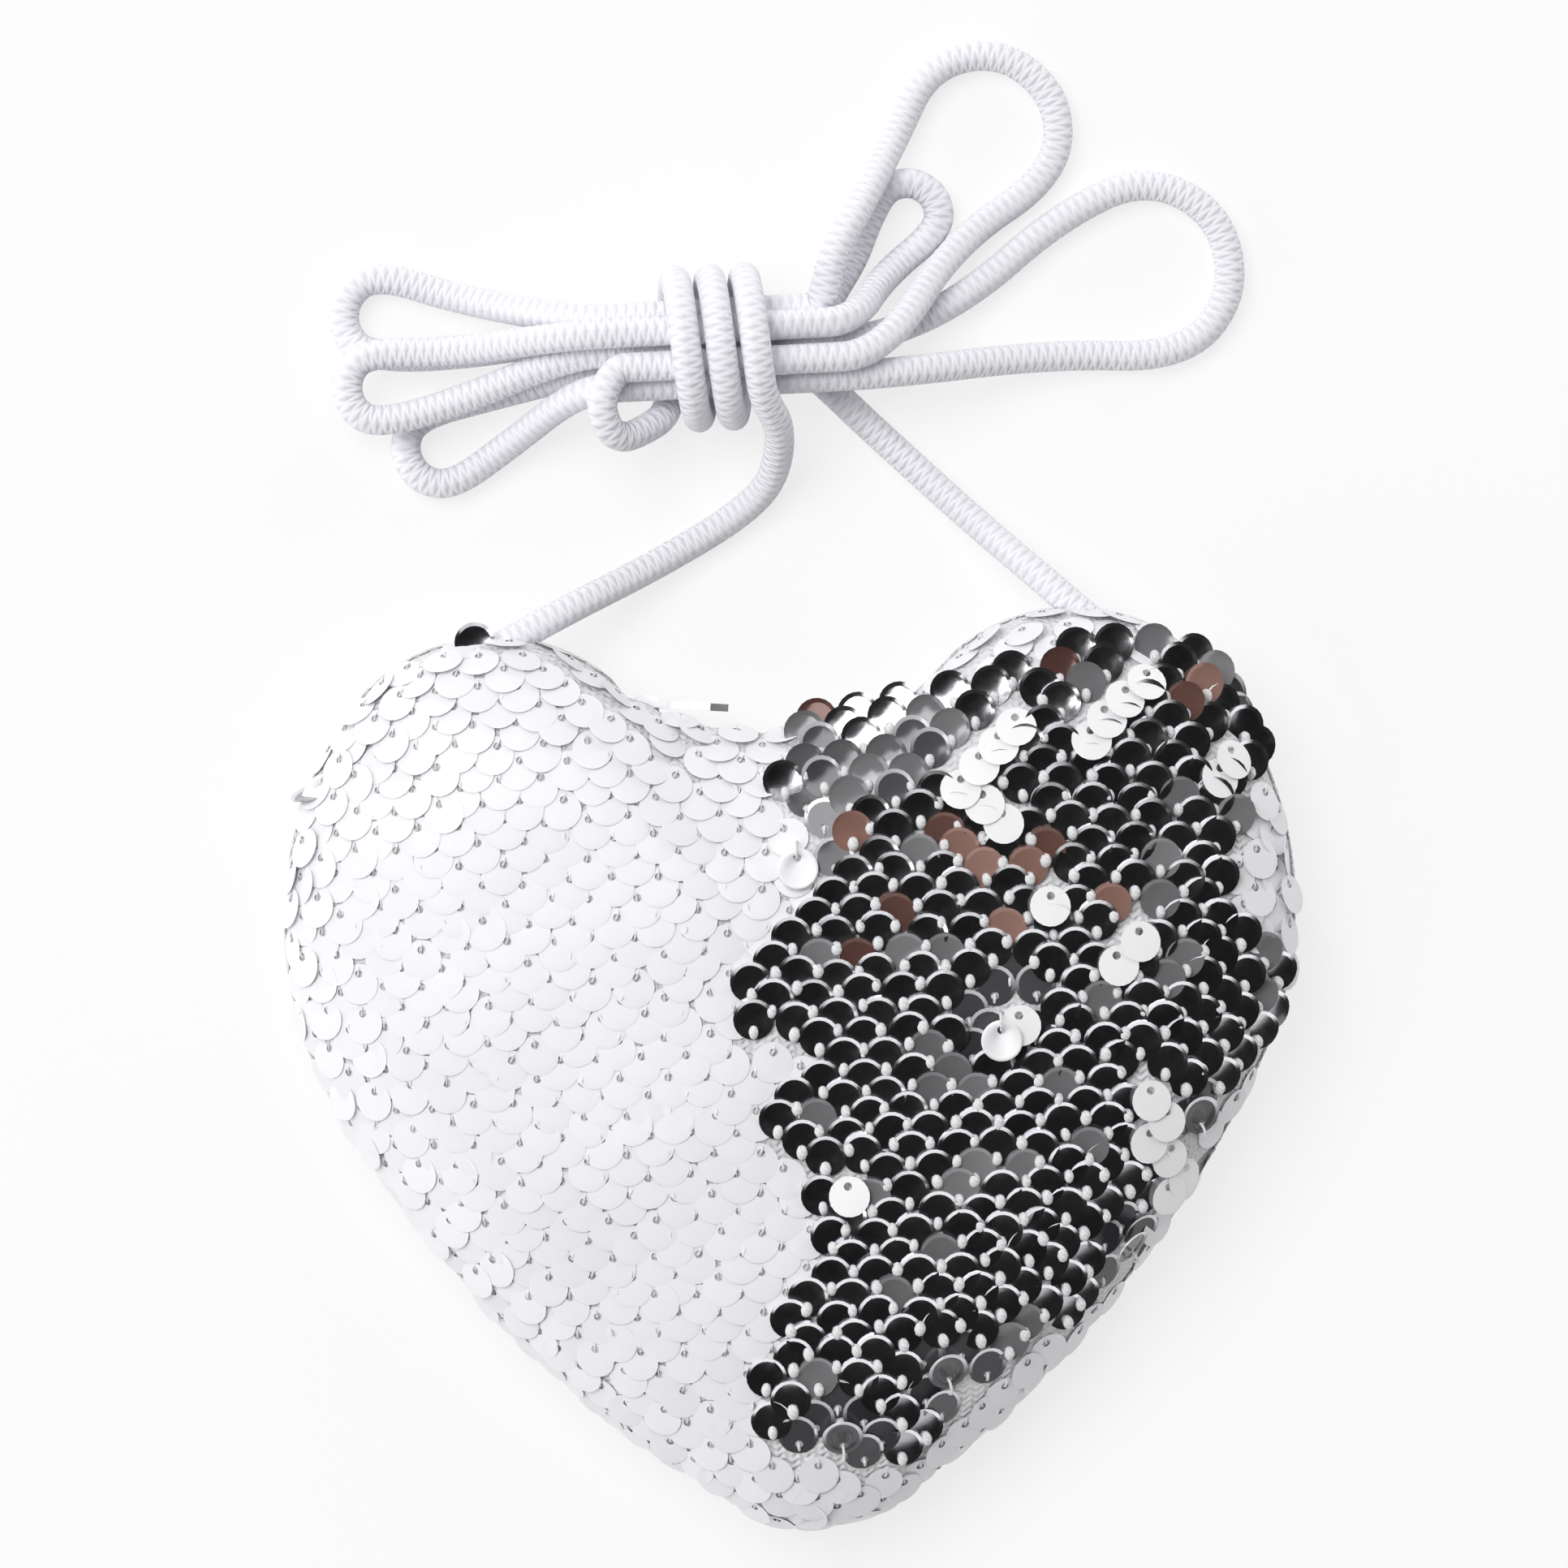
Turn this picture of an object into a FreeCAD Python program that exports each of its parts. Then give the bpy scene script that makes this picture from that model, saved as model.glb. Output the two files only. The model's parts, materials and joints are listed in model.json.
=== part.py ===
import FreeCAD, Part
import math
import os

# Heart shaped purse of flip sequin cloth, lying on its back: millimetres, +Z up through the
# front, +Y towards the two lobes, origin under the middle of the heart on the table.

V = FreeCAD.Vector
UP = V(0, 0, 1)
RIGHT = V(1, 0, 0)

# Heart outline at the side seam: tangent arcs from the dip over a lobe and down to the tip, each
# with the heading it ends on and the number of flat facets it is sewn from
dip_radius = 36.0
dip_turn = 37.6
dip_steps = 3
lobe_radius = 22.4
lobe_end_heading = -54.3
lobe_steps = 4
shoulder_radius = 45.4
shoulder_end_heading = -118.2
shoulder_steps = 4
flank_radius = 140.6
flank_steps = 3
tip_radius = 17.4
tip_end_heading = -180.0
tip_steps = 2

# Stuffed body: heights of the seam and of the front's crown, and how each level draws in
seam_height = 10.0
front_rise = 15.0
crown_offset = 6.0
front_level_shares = (0.0, 0.43, 0.81, 1.0)
front_size_shares = (1.0, 0.94, 0.755, 0.42)
back_level_shares = (0.0, 0.35, 0.70, 1.0)
back_size_shares = (1.0, 0.97, 0.89, 0.74)

# Cloth layers
sequin_layer = 0.6
panel_wall = 1.0
lining_wall = 0.4
front_lining_ring_steps = 2
back_lining_ring_steps = 3
layer_gap = 0.15
overrun = 2.0

# Border between the white and the silver sequins, from above the dip to below the tip
border_shares = ((0.0, 1.2), (0.0, 0.67), (-0.06, 0.54), (0.045, 0.40), (-0.11, 0.17), (0.03, 0.03),
                 (-0.06, -0.13), (0.035, -0.28), (-0.06, -0.56), (-0.13, -0.74), (-0.03, -0.84),
                 (0.04, -1.2))
border_gap = 0.3

# Courses of overlapping sequin rows, each lifted along its free edge
sequin_row_pitch = 2.44
course_row_steps = 3
course_rise = 1.1

# Zip along the dip: mouth, tapes, teeth
mouth_half_angle = 36.4
mouth_half_gap = 4.4
mouth_depth = 12.0
sequin_mouth_half_angle = 42.0
zip_half_angle = 34.6
tape_set = 4.6
tape_thick = 0.5
tape_reach = 5.2
tape_edge = 1.45
tape_clearance = 0.2
tooth_pitch = 1.8
tooth_width = 1.15
tooth_length = 2.0
tooth_height = 1.3
tooth_seat = 0.04
row_half_gap = 0.95
tooth_shares = ((-0.5, 1.0), (0.5, 1.0), (0.5, 0.25), (0.25, 0.0), (-0.25, 0.0), (-0.5, 0.25))
stop_length = 1.8
stop_gap = 0.25
tab_reach = 1.2
tab_thick = 1.6
tab_gap = 0.25

# Slider and its pull
slider_length = 8.0
slider_plate = 0.9
slider_flange = 0.7
slider_clearance = 0.3
wedge_width = 1.2
wedge_length = 2.6
slider_shares = ((-0.5, -0.36), (-0.3, -0.5), (0.34, -0.5), (0.5, -0.40),
                 (0.5, 0.40), (0.34, 0.5), (-0.3, 0.5), (-0.5, 0.36))
bail_length = 4.4
bail_crown_share = 0.5
bail_height = 2.4
bail_width = 1.4
bail_pivot_height = 1.2
pull_bar_radius = 0.5
pull_bar_clearance = 0.2
pull_length = 10.0
pull_width = 4.4
pull_neck_width = 3.6
pull_thick = 0.9
pull_eye_length = 3.0
pull_hole_radius = 0.9
pull_sides = 8
pull_corner_share = 0.45
pull_rest_tilt = 20.0

# Flip sequins that are sewn on one by one, and the thread loops that they turn on
sequin_radius = 2.5
sequin_thick = 0.2
sequin_dish = 0.3
hole_radius = 0.6
hole_offset = 1.25
sequin_sides = 8
hole_sides = 6
sequin_flat_share = 0.35
thread_width = 0.35
thread_loop_radius = 1.0
thread_steps = 4
thread_pivot_height = 0.75
thread_foot_gap = 0.05
flip_edge_margin = 1.6
silver_flip_shares = ((0.05, -0.82), (0.26, -0.70), (0.63, -0.44), (0.78, -0.17))
white_flip_shares = ((0.02, 0.49), (0.40, 0.10))

# Braided cord: diameter, the bundle that it makes at the waist and the wrap round it
cord_diameter = 3.7
cord_sides = 5
cord_lift = 0.05
cord_hole_clearance = 0.2
slot_pitch = 4.3
wrap_clearance = 0.5
waist_y = 89.9
waist_left = -15.5
waist_right = 4.5
wrap_left = -13.0
wrap_right = 1.4
wrap_start_angle = 215.0
wrap_end_angle = 1220.0
wrap_stations = 6
whipping_wall = 0.5
whipping_length = 2.0
whipping_gap = 0.05
whipping_sides = 8
fillet_share = 0.45

# Two free runs of the cord, from the waist to the lobes: x, y and height
left_run_route = ((1.5, 75.9, 6.6), (-0.2, 72.4, 3.5), (-4.4, 69.1, 1.95), (-10.2, 65.9, 2.1),
                  (-17.2, 62.4, 4.3), (-24.0, 59.3, 8.2), (-30.8, 56.0, 10.0), (-37.6, 52.7, 10.0))
right_run_route = ((5.4, 87.2, 5.2), (8.2, 84.6, 3.0), (12.6, 80.0, 1.9), (18.6, 73.9, 1.9),
                   (25.4, 67.0, 4.0), (32.0, 60.6, 8.6), (37.6, 55.2, 10.0), (43.2, 50.0, 10.0))
left_run_lead = 5.5
right_run_lead = 3.0
right_run_start = -1.5

# Bights of the hank: side of the waist, strands out and in, middle of the round end from that end
# of the waist, its radius, layer above the table, turning sense, and a strand's shoulder
bights = (
    ("left", "near_low", "near", (-24.5, -10.2), 4.6, "lower", "counter", None, None),
    ("right", "near", "middle", (43.5, 7.2), 10.6, "lower", "counter", None, (15.5, 2.6, 3.6)),
    ("left", "middle", "far_top", (-31.5, -2.6), 4.3, "upper", "clockwise", None, None),
    ("right", "far_top", "far_low", (14.4, 15.6), 4.0, "lower", "counter", None, (6.0, 8.2, 2.8)),
    ("left", "far_low", "far", (-31.0, 6.3), 4.9, "lower", "clockwise", None, None),
    ("right", "far", "near_top", (24.2, 25.4), 9.5, "lower", "clockwise", (6.4, 13.2, 10.2), None),
)
layer_height = 4.5
hook_place = (-19.5, -8.5, 3.2)
hook_heading = (0.4, -1.0, -0.6)
slot_angles = {"near_low": 240.0, "near": 180.0, "near_top": 120.0,
               "far_low": 300.0, "far": 0.0, "far_top": 60.0}

parts = {}


# Heart sections and the stuffed halves


def turned(a, b):
    """Way from one heading to another on a unit arc that turns to the left."""
    a = math.radians(a)
    b = math.radians(b)
    return V(math.sin(b) - math.sin(a), math.cos(a) - math.cos(b), 0)


flank_start = turned(0.0, dip_turn) * dip_radius - turned(dip_turn, lobe_end_heading) * lobe_radius
flank_start -= turned(lobe_end_heading, shoulder_end_heading) * shoulder_radius
flank_reach = flank_start.x + flank_radius * math.sin(math.radians(shoulder_end_heading))
flank_sine = flank_reach / (flank_radius - tip_radius)
flank_end_heading = tip_end_heading - math.degrees(math.asin(flank_sine))
heart_arcs = ((dip_radius, 1, dip_turn, dip_steps), (lobe_radius, -1, lobe_end_heading, lobe_steps),
              (shoulder_radius, -1, shoulder_end_heading, shoulder_steps),
              (flank_radius, -1, flank_end_heading, flank_steps),
              (tip_radius, -1, tip_end_heading, tip_steps))


def half_outline(size_share, inset):
    """One half of the heart from the dip's bottom at the origin to the tip, drawn in by the inset."""
    points = [V(0, 0, 0)]
    heading = 0.0
    for radius, bend, end_heading, steps in heart_arcs:
        reach = bend * size_share * radius + inset
        step = (end_heading - heading) / steps
        for k in range(steps):
            points.append(points[-1] + turned(heading + k * step, heading + (k + 1) * step) * reach)
        heading = end_heading
    points[-1].x = 0
    return points


crest_share = 1 - math.cos(math.radians(dip_turn))
seam_outline = half_outline(1.0, 0.0)
lobe_crest = (dip_radius + lobe_radius) * crest_share
heart_height = lobe_crest - seam_outline[-1].y
lobe_top_y = heart_height / 2
dip_axis_y = lobe_top_y - lobe_crest + dip_radius
half_width = max(p.x for p in seam_outline)


def heart_ring(z, size_share, inset):
    """Closed heart at one level; the same headings at every level keep the facets between them flat."""
    top = size_share * lobe_top_y + (1 - size_share) * crown_offset - inset
    lift = V(0, top - size_share * lobe_crest, z)
    right = [p + lift for p in half_outline(size_share, inset)]
    return right + [V(-p.x, p.y, p.z) for p in reversed(right[1:-1])]


def flat_face(corners):
    return Part.Face(Part.makePolygon(corners + corners[:1]))


def faceted_solid(rings):
    """Solid through closed rings of as many corners each, its sides flat facets."""
    faces = [flat_face(rings[0]), flat_face(rings[-1])]
    for low, high in zip(rings, rings[1:]):
        for i in range(len(low)):
            faces.append(flat_face([low[i - 1], low[i], high[i], high[i - 1]]))
    solid = Part.Solid(Part.Shell(faces))
    return solid if solid.Volume > 0 else solid.reversed()


def half_rings(height, levels, sizes, inset):
    """Rings of a stuffed half, from the seam up (or down, with a negative height)."""
    reach = height - inset if height > 0 else height + inset
    return [heart_ring(seam_height + reach * level, size, inset) for level, size in zip(levels, sizes)]


def front_rings(inset, steps=1):
    return half_rings(front_rise, front_level_shares[::steps], front_size_shares[::steps], inset)


def front_half(inset, steps=1):
    return faceted_solid(front_rings(inset, steps))


def back_half(inset, steps=1):
    return faceted_solid(half_rings(-seam_height, back_level_shares[::steps], back_size_shares[::steps],
                                    inset))


# Zip helpers: everything turns about the axis of the dip's arc


def zip_sector(r_in, r_out, z_low, z_high, from_angle, to_angle):
    """Ring sector about the zip's axis, angles from the dip's bottom with the right side positive."""
    base = V(0, dip_axis_y, z_low)
    outer = Part.makeCylinder(r_out, z_high - z_low, base, UP, to_angle - from_angle)
    inner = Part.makeCylinder(r_in, z_high - z_low + 2 * overrun, base - UP * overrun, UP)
    ring = outer.cut(inner)
    ring.rotate(base, UP, from_angle - 90.0)
    return ring


def zip_prism(points, y_low, y_high):
    """Outline in the zip's face at the dip's bottom (along the row, across it), raised along +Y."""
    corners = [V(t, y_low, seam_height + across) for t, across in points]
    return flat_face(corners).extrude(V(0, y_high - y_low, 0))


def zip_place(shape, angle):
    shape = shape.copy()
    shape.rotate(V(0, dip_axis_y, 0), UP, angle)
    return shape


# Cloth layers, open along the mouth and pierced where the cord goes in

front_panel_inset = sequin_layer + layer_gap
front_lining_inset = front_panel_inset + panel_wall + layer_gap
back_lining_inset = panel_wall + layer_gap
tape_radius = dip_radius + tape_set



def mouth_opening(half_gap, half_angle):
    return zip_sector(dip_radius - overrun, dip_radius + mouth_depth, seam_height - half_gap,
                      seam_height + half_gap, -half_angle, half_angle)


tab_end_angle = zip_half_angle + math.degrees((tab_gap + tab_reach) / tape_radius)
lining_mouth_half_angle = tab_end_angle + math.degrees(tape_clearance / tape_radius)
mouth = mouth_opening(mouth_half_gap, mouth_half_angle)
sequin_mouth = mouth_opening(mouth_half_gap, sequin_mouth_half_angle)
lining_mouth = mouth_opening(tape_reach + tape_clearance, lining_mouth_half_angle)

cord_radius = cord_diameter / 2


def ring_corners(point, along, radius, sides):
    """Regular polygon round a point, square to a direction."""
    guide = UP if abs(along.dot(UP)) < 0.9 else RIGHT
    side = along.cross(guide).normalize()
    rise = side.cross(along).normalize()
    turns = [2 * math.pi * k / sides for k in range(sides)]
    return [point + side * (radius * math.cos(a)) + rise * (radius * math.sin(a)) for a in turns]


def ring_prism(start, along, radius, sides):
    """Many-sided bar whose flats lie at the given radius from its axis."""
    corner_radius = radius / math.cos(math.pi / sides)
    return flat_face(ring_corners(start, along, corner_radius, sides)).extrude(along)


def cord_entry(route):
    """Hole for the cord's last run, from outside the seam to the inside."""
    inner = V(*route[-1])
    along = V(*route[-2]) - inner
    margin = V(along).normalize() * cord_diameter
    hole = cord_radius + whipping_gap + whipping_wall + cord_hole_clearance
    return ring_prism(inner - margin, along + margin * 2, hole, whipping_sides)


entries = [cord_entry(left_run_route), cord_entry(right_run_route)]


def cloth(outer, inner, opening):
    return outer.cut(inner).cut(opening).cut(entries[0]).cut(entries[1])


parts["front_panel"] = cloth(front_half(front_panel_inset), front_half(front_panel_inset + panel_wall),
                             mouth)
parts["front_lining"] = cloth(front_half(front_lining_inset, front_lining_ring_steps),
                              front_half(front_lining_inset + lining_wall, front_lining_ring_steps),
                              lining_mouth)
parts["back_panel"] = cloth(back_half(0.0), back_half(panel_wall), mouth)
parts["back_lining"] = cloth(back_half(back_lining_inset, back_lining_ring_steps),
                             back_half(back_lining_inset + lining_wall, back_lining_ring_steps),
                             lining_mouth)


# Sequin fields: courses of rows, the silver ones brushed up and the white ones lying down

course_pitch = sequin_row_pitch * course_row_steps
course_slope = course_rise / course_pitch
course_rings = front_rings(-course_rise / 2)
field_height = front_rise + course_rise + overrun
top_course = math.floor((lobe_top_y - sequin_row_pitch) / course_pitch)
tip_course = -top_course - 1


def colour_prism(side, shift):
    """Block over the silver (right) or white (left) side, one wall along the border of the colours."""
    line = [V(x * half_width + shift, y * lobe_top_y, seam_height) for x, y in border_shares]
    far = 2 * side * half_width
    corners = line + [V(far, line[-1].y, seam_height), V(far, line[0].y, seam_height)]
    return flat_face(corners).extrude(UP * field_height)


def sequin_course(number, free_side):
    """One course across the front: the raised front, tipped so that the course's free edge lifts.

    The first and the last course run on over the tip and the lobes, at least one row deep."""
    middle = (number + 0.5) * course_pitch
    tip = course_slope * free_side
    tipped = faceted_solid([[p + UP * (tip * (p.y - middle)) for p in ring] for ring in course_rings])
    low = -lobe_top_y - overrun if number == tip_course else number * course_pitch
    high = lobe_top_y + overrun if number == top_course else (number + 1) * course_pitch
    corner = V(-2 * half_width, low, seam_height)
    return tipped.common(Part.makeBox(4 * half_width, high - low, field_height, corner))


def sequin_field(side):
    courses = [sequin_course(k, side) for k in range(tip_course, top_course + 1)]
    skin = courses[0].multiFuse(courses[1:]).common(colour_prism(side, side * border_gap / 2))
    return cloth(skin, front_half(sequin_layer), sequin_mouth).removeSplitter()


parts["sequin_field_silver"] = sequin_field(1)
parts["sequin_field_white"] = sequin_field(-1)

# Zip: tapes, teeth, stops and the cloth tabs at its ends

front_inside = front_half(front_panel_inset + panel_wall + tape_clearance)
back_inside = back_half(panel_wall + tape_clearance)
tape_span = (-zip_half_angle, zip_half_angle)
parts["zip_tape_front"] = zip_sector(tape_radius, tape_radius + tape_thick, seam_height + tape_edge,
                                     seam_height + tape_reach, *tape_span).common(front_inside)
parts["zip_tape_back"] = zip_sector(tape_radius, tape_radius + tape_thick, seam_height - tape_reach,
                                    seam_height - tape_edge, *tape_span).common(back_inside)

face_y = dip_axis_y - tape_radius
tooth_outline = [(tooth_width * w, row_half_gap + tooth_length * s) for w, s in tooth_shares]
row_angle = math.degrees(tooth_pitch / tape_radius)
stop_angle = math.degrees((stop_length + stop_gap) / tape_radius)
half_row_count = int((zip_half_angle - stop_angle) / row_angle)


def tooth_row(side):
    outline = [(t, side * across) for t, across in tooth_outline]
    tooth = zip_prism(outline, face_y + tooth_seat, face_y + tooth_height)
    stagger = 0.0 if side > 0 else row_angle / 2
    steps = range(-half_row_count, half_row_count if side < 0 else half_row_count + 1)
    return Part.makeCompound([zip_place(tooth, k * row_angle + stagger) for k in steps])


parts["zip_teeth_front"] = tooth_row(1)
parts["zip_teeth_back"] = tooth_row(-1)


def stop_block(low, high):
    half = stop_length / 2
    outline = [(-half, low), (half, low), (half, high), (-half, high)]
    return zip_prism(outline, face_y + tooth_seat, face_y + tooth_height)


stop_place = zip_half_angle - math.degrees(stop_length / 2 / tape_radius)
row_base = row_half_gap + tooth_length
parts["zip_top_stops"] = Part.makeCompound([zip_place(stop_block(row_half_gap, row_base), stop_place),
                                            zip_place(stop_block(-row_base, -row_half_gap), stop_place)])
parts["zip_bottom_stop"] = zip_place(stop_block(-row_base, row_base), -stop_place)


def end_tab(side):
    """Folded cloth tab that closes the mouth past one end of the zip."""
    near = zip_half_angle + math.degrees(tab_gap / tape_radius)
    span = (near, tab_end_angle) if side > 0 else (-tab_end_angle, -near)
    block = zip_sector(tape_radius, tape_radius + tab_thick, seam_height - mouth_half_gap,
                       seam_height + mouth_half_gap, *span)
    upper = block.common(front_inside)
    lower = block.common(back_inside)
    return upper.fuse(lower).removeSplitter()


parts["zip_end_tab_left"] = end_tab(-1)
parts["zip_end_tab_right"] = end_tab(1)

# Slider: two plates joined by the wedge between the rows, with flanges that hold the tapes

outer_plate_in = tape_radius - tooth_height - slider_clearance
outer_plate_out = outer_plate_in - slider_plate
inner_plate_in = tape_radius + tape_thick + slider_clearance
inner_plate_out = inner_plate_in + slider_plate
flange_low = row_base + slider_clearance
slider_half_width = flange_low + slider_flange
slider_half_angle = math.degrees(slider_length / 2 / tape_radius)
slider_span = (-slider_half_angle, slider_half_angle)
slider_rest_angle = stop_angle + slider_half_angle - zip_half_angle


def slider_ring(r_in, r_out, low, high, span=slider_span):
    return zip_sector(r_in, r_out, seam_height + low, seam_height + high, *span)


def slider_body():
    pieces = [slider_ring(outer_plate_out, outer_plate_in, -slider_half_width, slider_half_width),
              slider_ring(inner_plate_in, inner_plate_out, -slider_half_width, slider_half_width)]
    for low, high in ((flange_low, slider_half_width), (-slider_half_width, -flange_low)):
        pieces.append(slider_ring(outer_plate_out, tape_radius - slider_clearance, low, high))
        pieces.append(slider_ring(tape_radius + tape_thick + slider_clearance, inner_plate_out, low, high))
    wedge_span = (slider_half_angle - math.degrees(wedge_length / tape_radius), slider_half_angle)
    wedge_half = wedge_width / 2
    pieces.append(slider_ring(outer_plate_out, inner_plate_out, -wedge_half, wedge_half, wedge_span))
    body = pieces[0].multiFuse(pieces[1:])
    outline = [(t * slider_length, across * 2 * slider_half_width) for t, across in slider_shares]
    low = dip_axis_y - inner_plate_out - overrun
    return body.common(zip_prism(outline, low, dip_axis_y - outer_plate_out + overrun))


def foot_under(centre, height):
    """Foot of an upright piece of some height with its middle at the centre."""
    return centre - UP * (height / 2)


bail_base_y = dip_axis_y - outer_plate_out - layer_gap
pivot_y = dip_axis_y - outer_plate_out + bail_pivot_height
pivot = V(0, pivot_y, seam_height)


def bail():
    half = bail_length / 2
    crown = half * bail_crown_share
    top_y = dip_axis_y - outer_plate_out + bail_height
    corners = [(-half, bail_base_y), (half, bail_base_y), (crown, top_y), (-crown, top_y)]
    points = [V(t, y, seam_height - bail_width / 2) for t, y in corners]
    block = flat_face(points).extrude(UP * bail_width)
    eye_radius = pull_bar_radius + pull_bar_clearance
    return block.cut(Part.makeCylinder(eye_radius, bail_width, foot_under(pivot, bail_width), UP))


parts["zip_slider"] = zip_place(slider_body().fuse(bail()).removeSplitter(), slider_rest_angle)


def pull_tab():
    """Pull with an open eye: a cross bar in the bail, two arms and a tapered tab with a hole."""
    eye_half = bail_width / 2 + slider_clearance
    neck = pull_neck_width / 2
    half = pull_width / 2
    shoulder = pull_length - half
    corner = half * pull_corner_share
    outline = [(0, -neck), (pull_eye_length, -neck), (shoulder, -half), (pull_length, -corner),
               (pull_length, corner), (shoulder, half), (pull_eye_length, neck), (0, neck)]
    low = pivot_y - pull_thick / 2
    tab = zip_prism(outline, low, low + pull_thick)
    window = zip_prism([(-overrun, -eye_half), (pull_eye_length, -eye_half), (pull_eye_length, eye_half),
                        (-overrun, eye_half)], low - overrun, low + pull_thick + overrun)
    through = V(0, pull_thick + 2 * overrun, 0)
    hole = ring_prism(V(shoulder, low - overrun, seam_height), through, pull_hole_radius, pull_sides)
    bar = Part.makeCylinder(pull_bar_radius, pull_neck_width, foot_under(pivot, pull_neck_width), UP)
    tab = tab.cut(window).cut(hole).fuse(bar).removeSplitter()
    tab.rotate(pivot, UP, pull_rest_tilt)
    return tab


parts["zip_pull"] = zip_place(pull_tab(), slider_rest_angle)

# Flip sequins: a dished disc that turns over on its thread loop


def course_point(field, x, y):
    """Point on top of a sequin course over a place of the plan, with the course's normal."""
    mast = Part.makeLine(V(x, y, seam_height), V(x, y, seam_height + field_height))
    top = max(mast.common(field).Vertexes, key=lambda v: v.Z).Point
    face = min(field.Faces, key=lambda f: f.distToShape(Part.Vertex(top))[0])
    normal = face.normalAt(0, 0)
    return top, normal if normal.z > 0 else normal * -1


def seat_on_skin(shape, top, normal, free_side):
    """Move a piece modelled about its hinge onto the cloth, its free edge to +Y or -Y."""
    across = (RIGHT - normal * RIGHT.dot(normal)).normalize() * free_side
    up_cloth = normal.cross(across)
    origin = top + normal * thread_pivot_height
    place = FreeCAD.Matrix(across.x, up_cloth.x, normal.x, origin.x,
                           across.y, up_cloth.y, normal.y, origin.y,
                           across.z, up_cloth.z, normal.z, origin.z, 0, 0, 0, 1)
    shape = shape.copy()
    shape.transformShape(place)
    return shape, origin, across


def flip_sequin():
    """Dished disc with a flat middle, its hole over the thread and its hinge along the X axis."""
    def ring(radius, height):
        return ring_corners(V(0, thread_loop_radius + hole_offset, height), UP, radius, sequin_sides)

    flat = sequin_radius * sequin_flat_share
    outside = faceted_solid([ring(flat, -sequin_thick), ring(sequin_radius, sequin_dish - sequin_thick),
                             ring(sequin_radius, sequin_dish)])
    inside = faceted_solid([ring(flat, 0), ring(sequin_radius, sequin_dish)])
    hole = ring_prism(V(0, thread_loop_radius, -overrun), UP * (2 * overrun), hole_radius, hole_sides)
    return outside.cut(inside).cut(hole)


def thread_loop():
    """Arch of thread in the plane across the hinge, round inside, its two feet on the cloth."""
    half = thread_width / 2
    reach = thread_loop_radius + half
    inner = thread_loop_radius - half
    leg = thread_pivot_height - thread_foot_gap
    turns = [math.pi * k / thread_steps for k in range(thread_steps + 1)]
    bow = [V(-half, reach * math.cos(a), reach * math.sin(a)) for a in turns]
    corners = [V(-half, reach, -leg)] + bow + [V(-half, -reach, -leg)]
    block = flat_face(corners).extrude(RIGHT * thread_width)
    eye = Part.makeCylinder(inner, thread_width, V(-half, 0, 0), RIGHT)
    return block.cut(eye).cut(Part.makeBox(thread_width, 2 * inner, leg, V(-half, -inner, -leg)))


def tube(edges, start, along, radius, sides):
    shell = Part.BRepOffsetAPI.MakePipeShell(Part.Wire(edges))
    corners = ring_corners(start, along, radius, sides)
    shell.add(Part.makePolygon(corners + corners[:1]))
    shell.build()
    shell.makeSolid()
    return shell.shape()


sequin = flip_sequin()
loop = thread_loop()
loops = []
flips = [(x, y, 1) for x, y in silver_flip_shares] + [(x, y, -1) for x, y in white_flip_shares]
for number, (x, y_share, free_side) in enumerate(flips, 1):
    course = math.floor(y_share * lobe_top_y / course_pitch)
    y = (course + 1) * course_pitch - flip_edge_margin
    top, normal = course_point(parts["sequin_field_silver"], x * half_width, y)
    name = "flip_sequin_%d" % number
    parts[name], origin, axis = seat_on_skin(sequin, top, normal, free_side)
    loops.append(seat_on_skin(loop, top, normal, free_side)[0])
    print("hinge", name, [round(c, 4) for c in origin], [round(c, 5) for c in axis])
parts["sequin_threads"] = Part.makeCompound(loops)

# Cord: waist slots, bights, wrap and the two free runs

wrap_radius = slot_pitch + cord_diameter + wrap_clearance
floor_level = cord_radius + cord_lift
waist_z = wrap_radius + floor_level


def waist_point(slot, x):
    """Place of one strand where it passes the waist: six strands round a middle one."""
    if slot not in slot_angles:
        return V(x, waist_y, waist_z)
    a = math.radians(slot_angles[slot])
    return V(x, waist_y + slot_pitch * math.cos(a), waist_z + slot_pitch * math.sin(a))


def unit(v):
    return V(v).normalize()


def bight_stations(side, slot_out, slot_in, end, radius, layer, sense, shoulder_out, shoulder_in):
    """Places and headings along one bight: out of the waist, round its end and back in."""
    root = V(waist_right if side == "right" else waist_left, waist_y, 0)
    away = RIGHT if side == "right" else RIGHT * -1
    axis = unit(V(end[0], end[1], 0))
    across = UP.cross(axis) if sense == "counter" else axis.cross(UP)
    level = floor_level + layer_height if layer == "upper" else floor_level
    middle = root + V(end[0], end[1], level)
    lean = math.asin(radius / math.hypot(*end))
    back = axis * (-radius * math.sin(lean))
    start = waist_point(slot_out, root.x)
    finish = waist_point(slot_in, root.x)
    rim_out = middle + back - across * (radius * math.cos(lean))
    rim_in = middle + back + across * (radius * math.cos(lean))
    stations = [(start, away)]
    if shoulder_out:
        stations.append((root + V(*shoulder_out), unit(rim_out - start)))
    stations.append((rim_out, axis * math.cos(lean) - across * math.sin(lean)))
    stations.append((middle + axis * radius, across))
    stations.append((rim_in, (axis * math.cos(lean) + across * math.sin(lean)) * -1))
    if shoulder_in:
        stations.append((root + V(*shoulder_in), unit(finish - rim_in)))
    stations.append((finish, away * -1))
    return stations


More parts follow.
